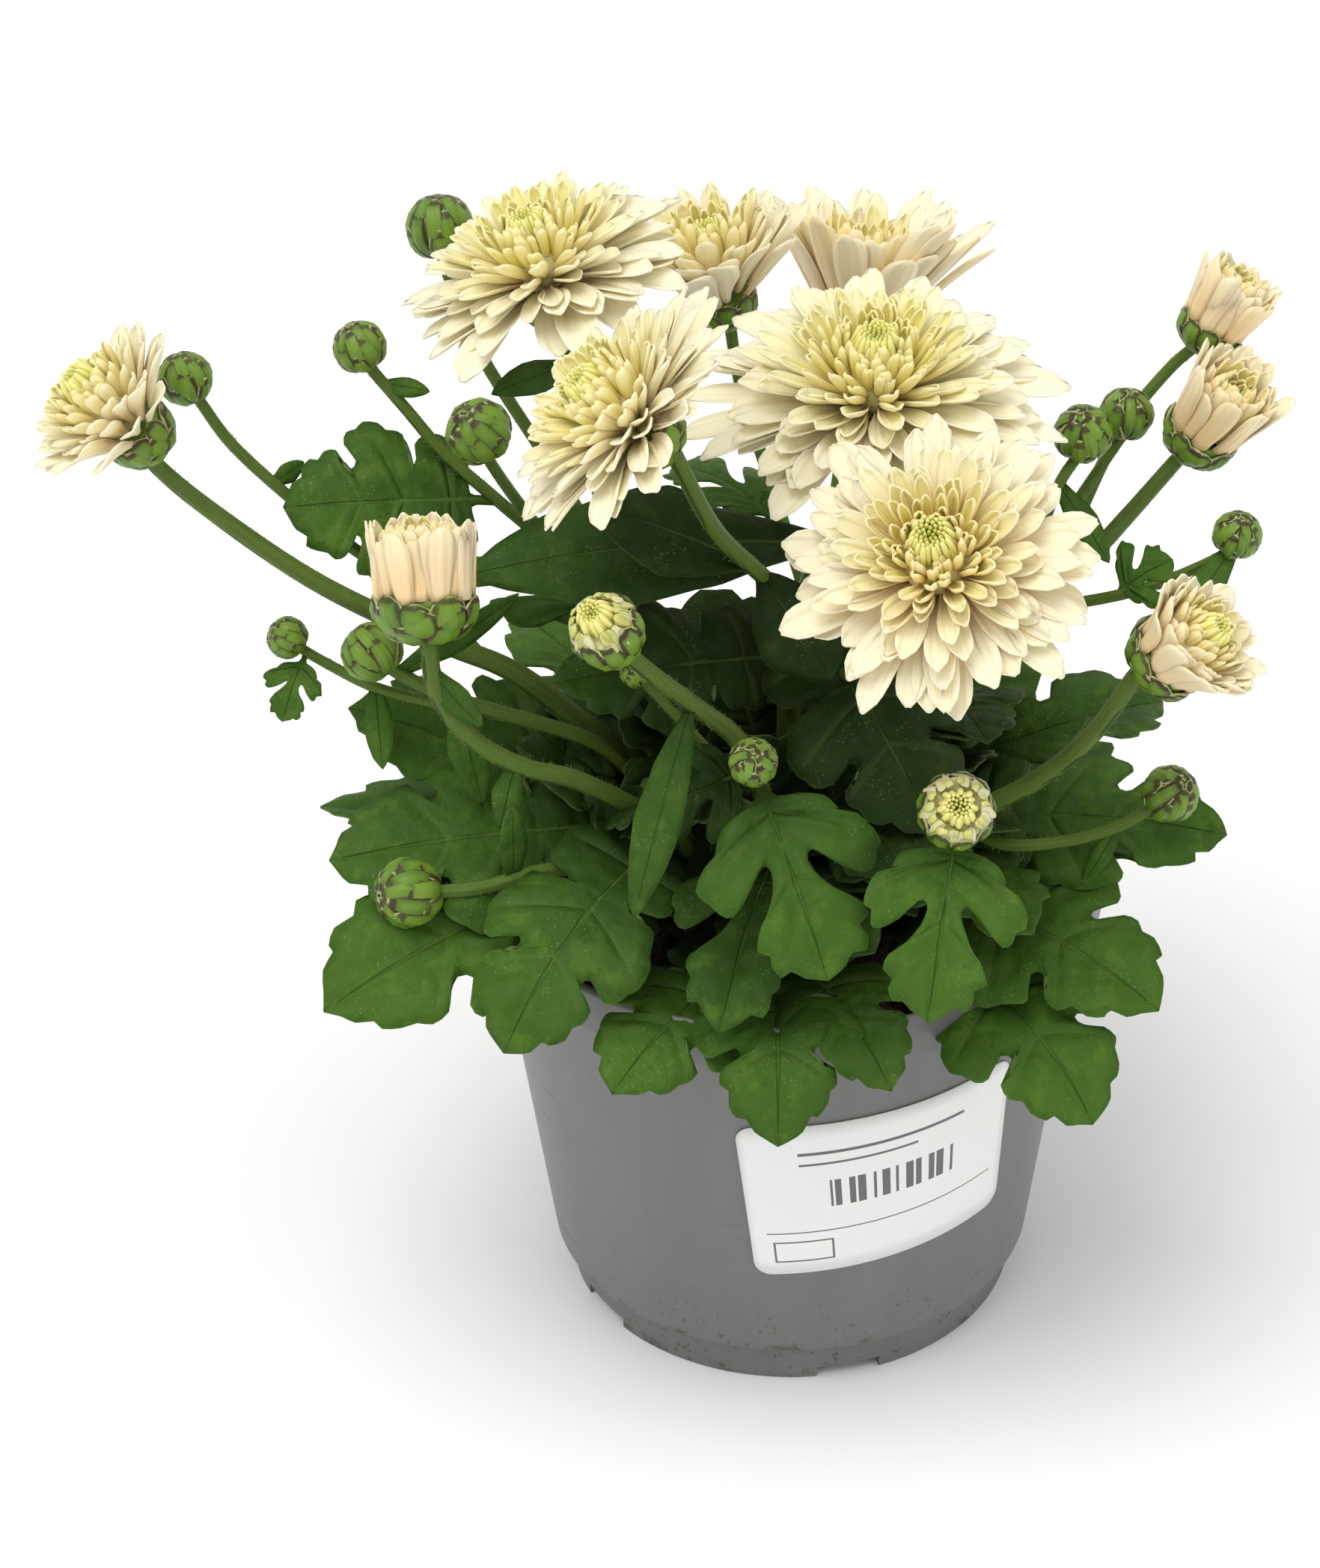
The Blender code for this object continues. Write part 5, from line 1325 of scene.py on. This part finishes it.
class FoliageSettings(bpy.types.PropertyGroup):
    """Thickness and colours of leaves, stalks and bud scales."""

    leaf_thickness: metres("Leaf thickness", "Thickness of the blades", 0.00042)
    scale_thickness: metres("Scale thickness", "Thickness of bud scales", 0.0005)
    hair_length: metres("Hair length", "Length of the stalks' hairs", 0.0007)
    hairs_per_mm: amount("Hairs per mm", "Number of hairs on each millimetre of stalk", 3.5)
    # The old green is also painted shade on leaves near the pot's axis
    old_and_shaded_green: tint("Old green", "Low, older leaves", (0.016, 0.043, 0.0055))
    young_green: tint("Young green", "Upper, younger leaves", (0.054, 0.128, 0.0125))
    # Painted shade for leaves deep inside the plant and at the bases of the blades
    painted_shade_green: tint("Deep green", "Leaves deep inside the plant", (0.008, 0.022, 0.003))
    mottled_green: tint("Mottled green", "Yellowish patches of the blades", (0.1, 0.19, 0.018))
    vein_green: tint("Vein green", "Veins and leaf edges", (0.13, 0.2, 0.05))
    under_green: tint("Underside", "Undersides of leaves", (0.1, 0.16, 0.05))
    speck: tint("Specks", "Pale specks on leaves", (0.35, 0.42, 0.2))
    stalk_green: tint("Stalk green", "Young stalks", (0.095, 0.16, 0.022))
    stalk_brown: tint("Stalk brown", "Old stalks", (0.055, 0.05, 0.02))
    down: tint("Down", "Fine hairs", (0.36, 0.42, 0.2))
    bud_green: tint("Bud green", "Scales of buds and cups", (0.05, 0.12, 0.008))
    # Pale middles of the scales, partly a painted highlight
    bud_pale_and_highlight: tint("Bud light green", "Middles of the scales", (0.18, 0.3, 0.03))
    bud_brown: tint("Bud brown", "Line round each scale", (0.045, 0.022, 0.012))
    paper_rim: tint("Papery rim", "Thin rim of each scale", (0.6, 0.58, 0.3))


class PotSettings(bpy.types.PropertyGroup):
    """Sizes and colours of pot, sticker and soil."""

    pot_steps: bpy.props.IntProperty(name="Pot steps", description="Faces round the pot", default=128, min=24)
    paper_thickness: metres("Paper thickness", "Thickness of the sticker", 0.0002)
    plastic: tint("Plastic", "Light grey of the pot", (0.155, 0.16, 0.15))
    plastic_dark: tint("Dark plastic", "Darker flow of the plastic", (0.132, 0.137, 0.128))
    scuff: tint("Scuffs", "Light scuffs", (0.32, 0.32, 0.3))
    paper: tint("Paper", "Sticker paper", (0.84, 0.85, 0.83))
    paper_shade: tint("Paper shade", "Fibres in the paper", (0.76, 0.77, 0.75))
    ink: tint("Ink", "Bars and rules", (0.03, 0.03, 0.03))
    soil: tint("Soil", "Damp peat", (0.03, 0.02, 0.013))
    soil_light: tint("Soil fibres", "Dry peat", (0.11, 0.075, 0.045))


class StageSettings(bpy.types.PropertyGroup):
    """Floor and lights."""

    floor_size: metres("Floor size", "Width of the floor", 12.0)
    floor_colour: tint("Floor", "Colour of the floor", (0.92, 0.92, 0.92))
    key: amount("Key light", "Strength of the main light", 1.65)
    fill: amount("Fill light", "Brightness of the surroundings", 0.74)


# Operators


class PieceOperator:
    """What every operator does with its class's settings, material, piece and names of the pieces."""

    bl_options = {"REGISTER", "UNDO"}

    def execute(self, context):
        group, make_coat, build, names = self.makes
        settings = getattr(context.scene, group)
        coat = make_coat(settings)
        for name in names:
            build(name, settings, coat)
        return {"FINISHED"}


class PLANT_OT_pot(PieceOperator, bpy.types.Operator):
    """Adds the grey plastic pot"""

    bl_idname = "plant.pot"
    bl_label = "Pot"
    makes = ("plant_pot", plastic_coat, build_pot, ["pot_shell"])


class PLANT_OT_sticker(PieceOperator, bpy.types.Operator):
    """Adds the paper sticker on the pot"""

    bl_idname = "plant.sticker"
    bl_label = "Sticker"
    makes = ("plant_pot", paper_coat, build_label, ["sticker"])


class PLANT_OT_soil(PieceOperator, bpy.types.Operator):
    """Adds the peat in the pot"""

    bl_idname = "plant.soil"
    bl_label = "Soil"
    makes = ("plant_pot", soil_coat, build_soil, ["peat_bed"])


class PLANT_OT_stalks(PieceOperator, bpy.types.Operator):
    """Adds the stalks of every stem"""

    bl_idname = "plant.stalks"
    bl_label = "Stalks"
    makes = ("plant_foliage", stalk_coat, build_stalks, STEMS)


class PLANT_OT_leaves(PieceOperator, bpy.types.Operator):
    """Adds the leaves of every stem"""

    bl_idname = "plant.leaves"
    bl_label = "Leaves"
    makes = ("plant_foliage", leaf_coat, build_leaves, STEMS)


class PLANT_OT_buds(PieceOperator, bpy.types.Operator):
    """Adds the closed buds and the green cups under the heads"""

    bl_idname = "plant.buds"
    bl_label = "Buds and cups"
    makes = ("plant_foliage", bract_coat, build_buds, STEMS)


class PLANT_OT_blooms(PieceOperator, bpy.types.Operator):
    """Adds the open flower heads"""

    bl_idname = "plant.blooms"
    bl_label = "Open heads"
    makes = ("plant_flowers", petal_coat, build_head, BLOOMS)


class PLANT_OT_small_heads(PieceOperator, bpy.types.Operator):
    """Adds the half-open heads and opening buds"""

    bl_idname = "plant.small_heads"
    bl_label = "Half-open heads"
    makes = ("plant_flowers", petal_coat, build_head, SMALL_HEADS)


class PLANT_OT_stage(PieceOperator, bpy.types.Operator):
    """Adds the floor, the lights and the camera"""

    bl_idname = "plant.stage"
    bl_label = "Stage"
    makes = ("plant_stage", floor_coat, build_stage, ["floor"])


OPERATORS = (
    PLANT_OT_stage,
    PLANT_OT_pot,
    PLANT_OT_sticker,
    PLANT_OT_soil,
    PLANT_OT_stalks,
    PLANT_OT_leaves,
    PLANT_OT_buds,
    PLANT_OT_blooms,
    PLANT_OT_small_heads,
)
GROUPS = {
    "plant_flowers": FlowerSettings,
    "plant_foliage": FoliageSettings,
    "plant_pot": PotSettings,
    "plant_stage": StageSettings,
}


class PLANT_PT_panel(bpy.types.Panel):
    """Lists the settings and the pieces"""

    bl_idname = "PLANT_PT_panel"
    bl_label = "Pot chrysanthemum"
    bl_space_type = "VIEW_3D"
    bl_region_type = "UI"
    bl_category = "Plant"

    def draw(self, context):
        for name, group in GROUPS.items():
            box = self.layout.box()
            settings = getattr(context.scene, name)
            for prop in group.__annotations__:
                box.prop(settings, prop)
        for operator in OPERATORS:
            self.layout.operator(operator.bl_idname)


def register():
    for made in (*GROUPS.values(), *OPERATORS, PLANT_PT_panel):
        bpy.utils.register_class(made)
    for name, group in GROUPS.items():
        setattr(bpy.types.Scene, name, bpy.props.PointerProperty(type=group))


def unregister():
    for name in GROUPS:
        delattr(bpy.types.Scene, name)
    for made in (PLANT_PT_panel, *reversed(OPERATORS), *reversed(list(GROUPS.values()))):
        bpy.utils.unregister_class(made)


def main():
    register()
    for operator in OPERATORS:
        family, call = operator.bl_idname.split(".")
        getattr(getattr(bpy.ops, family), call)()
    boxes = {"cad": CAD_BOX, "visual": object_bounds()}
    lists = {name: [[round(value, 6) for value in corner] for corner in box] for name, box in boxes.items()}


if __name__ == "__main__":
    main()
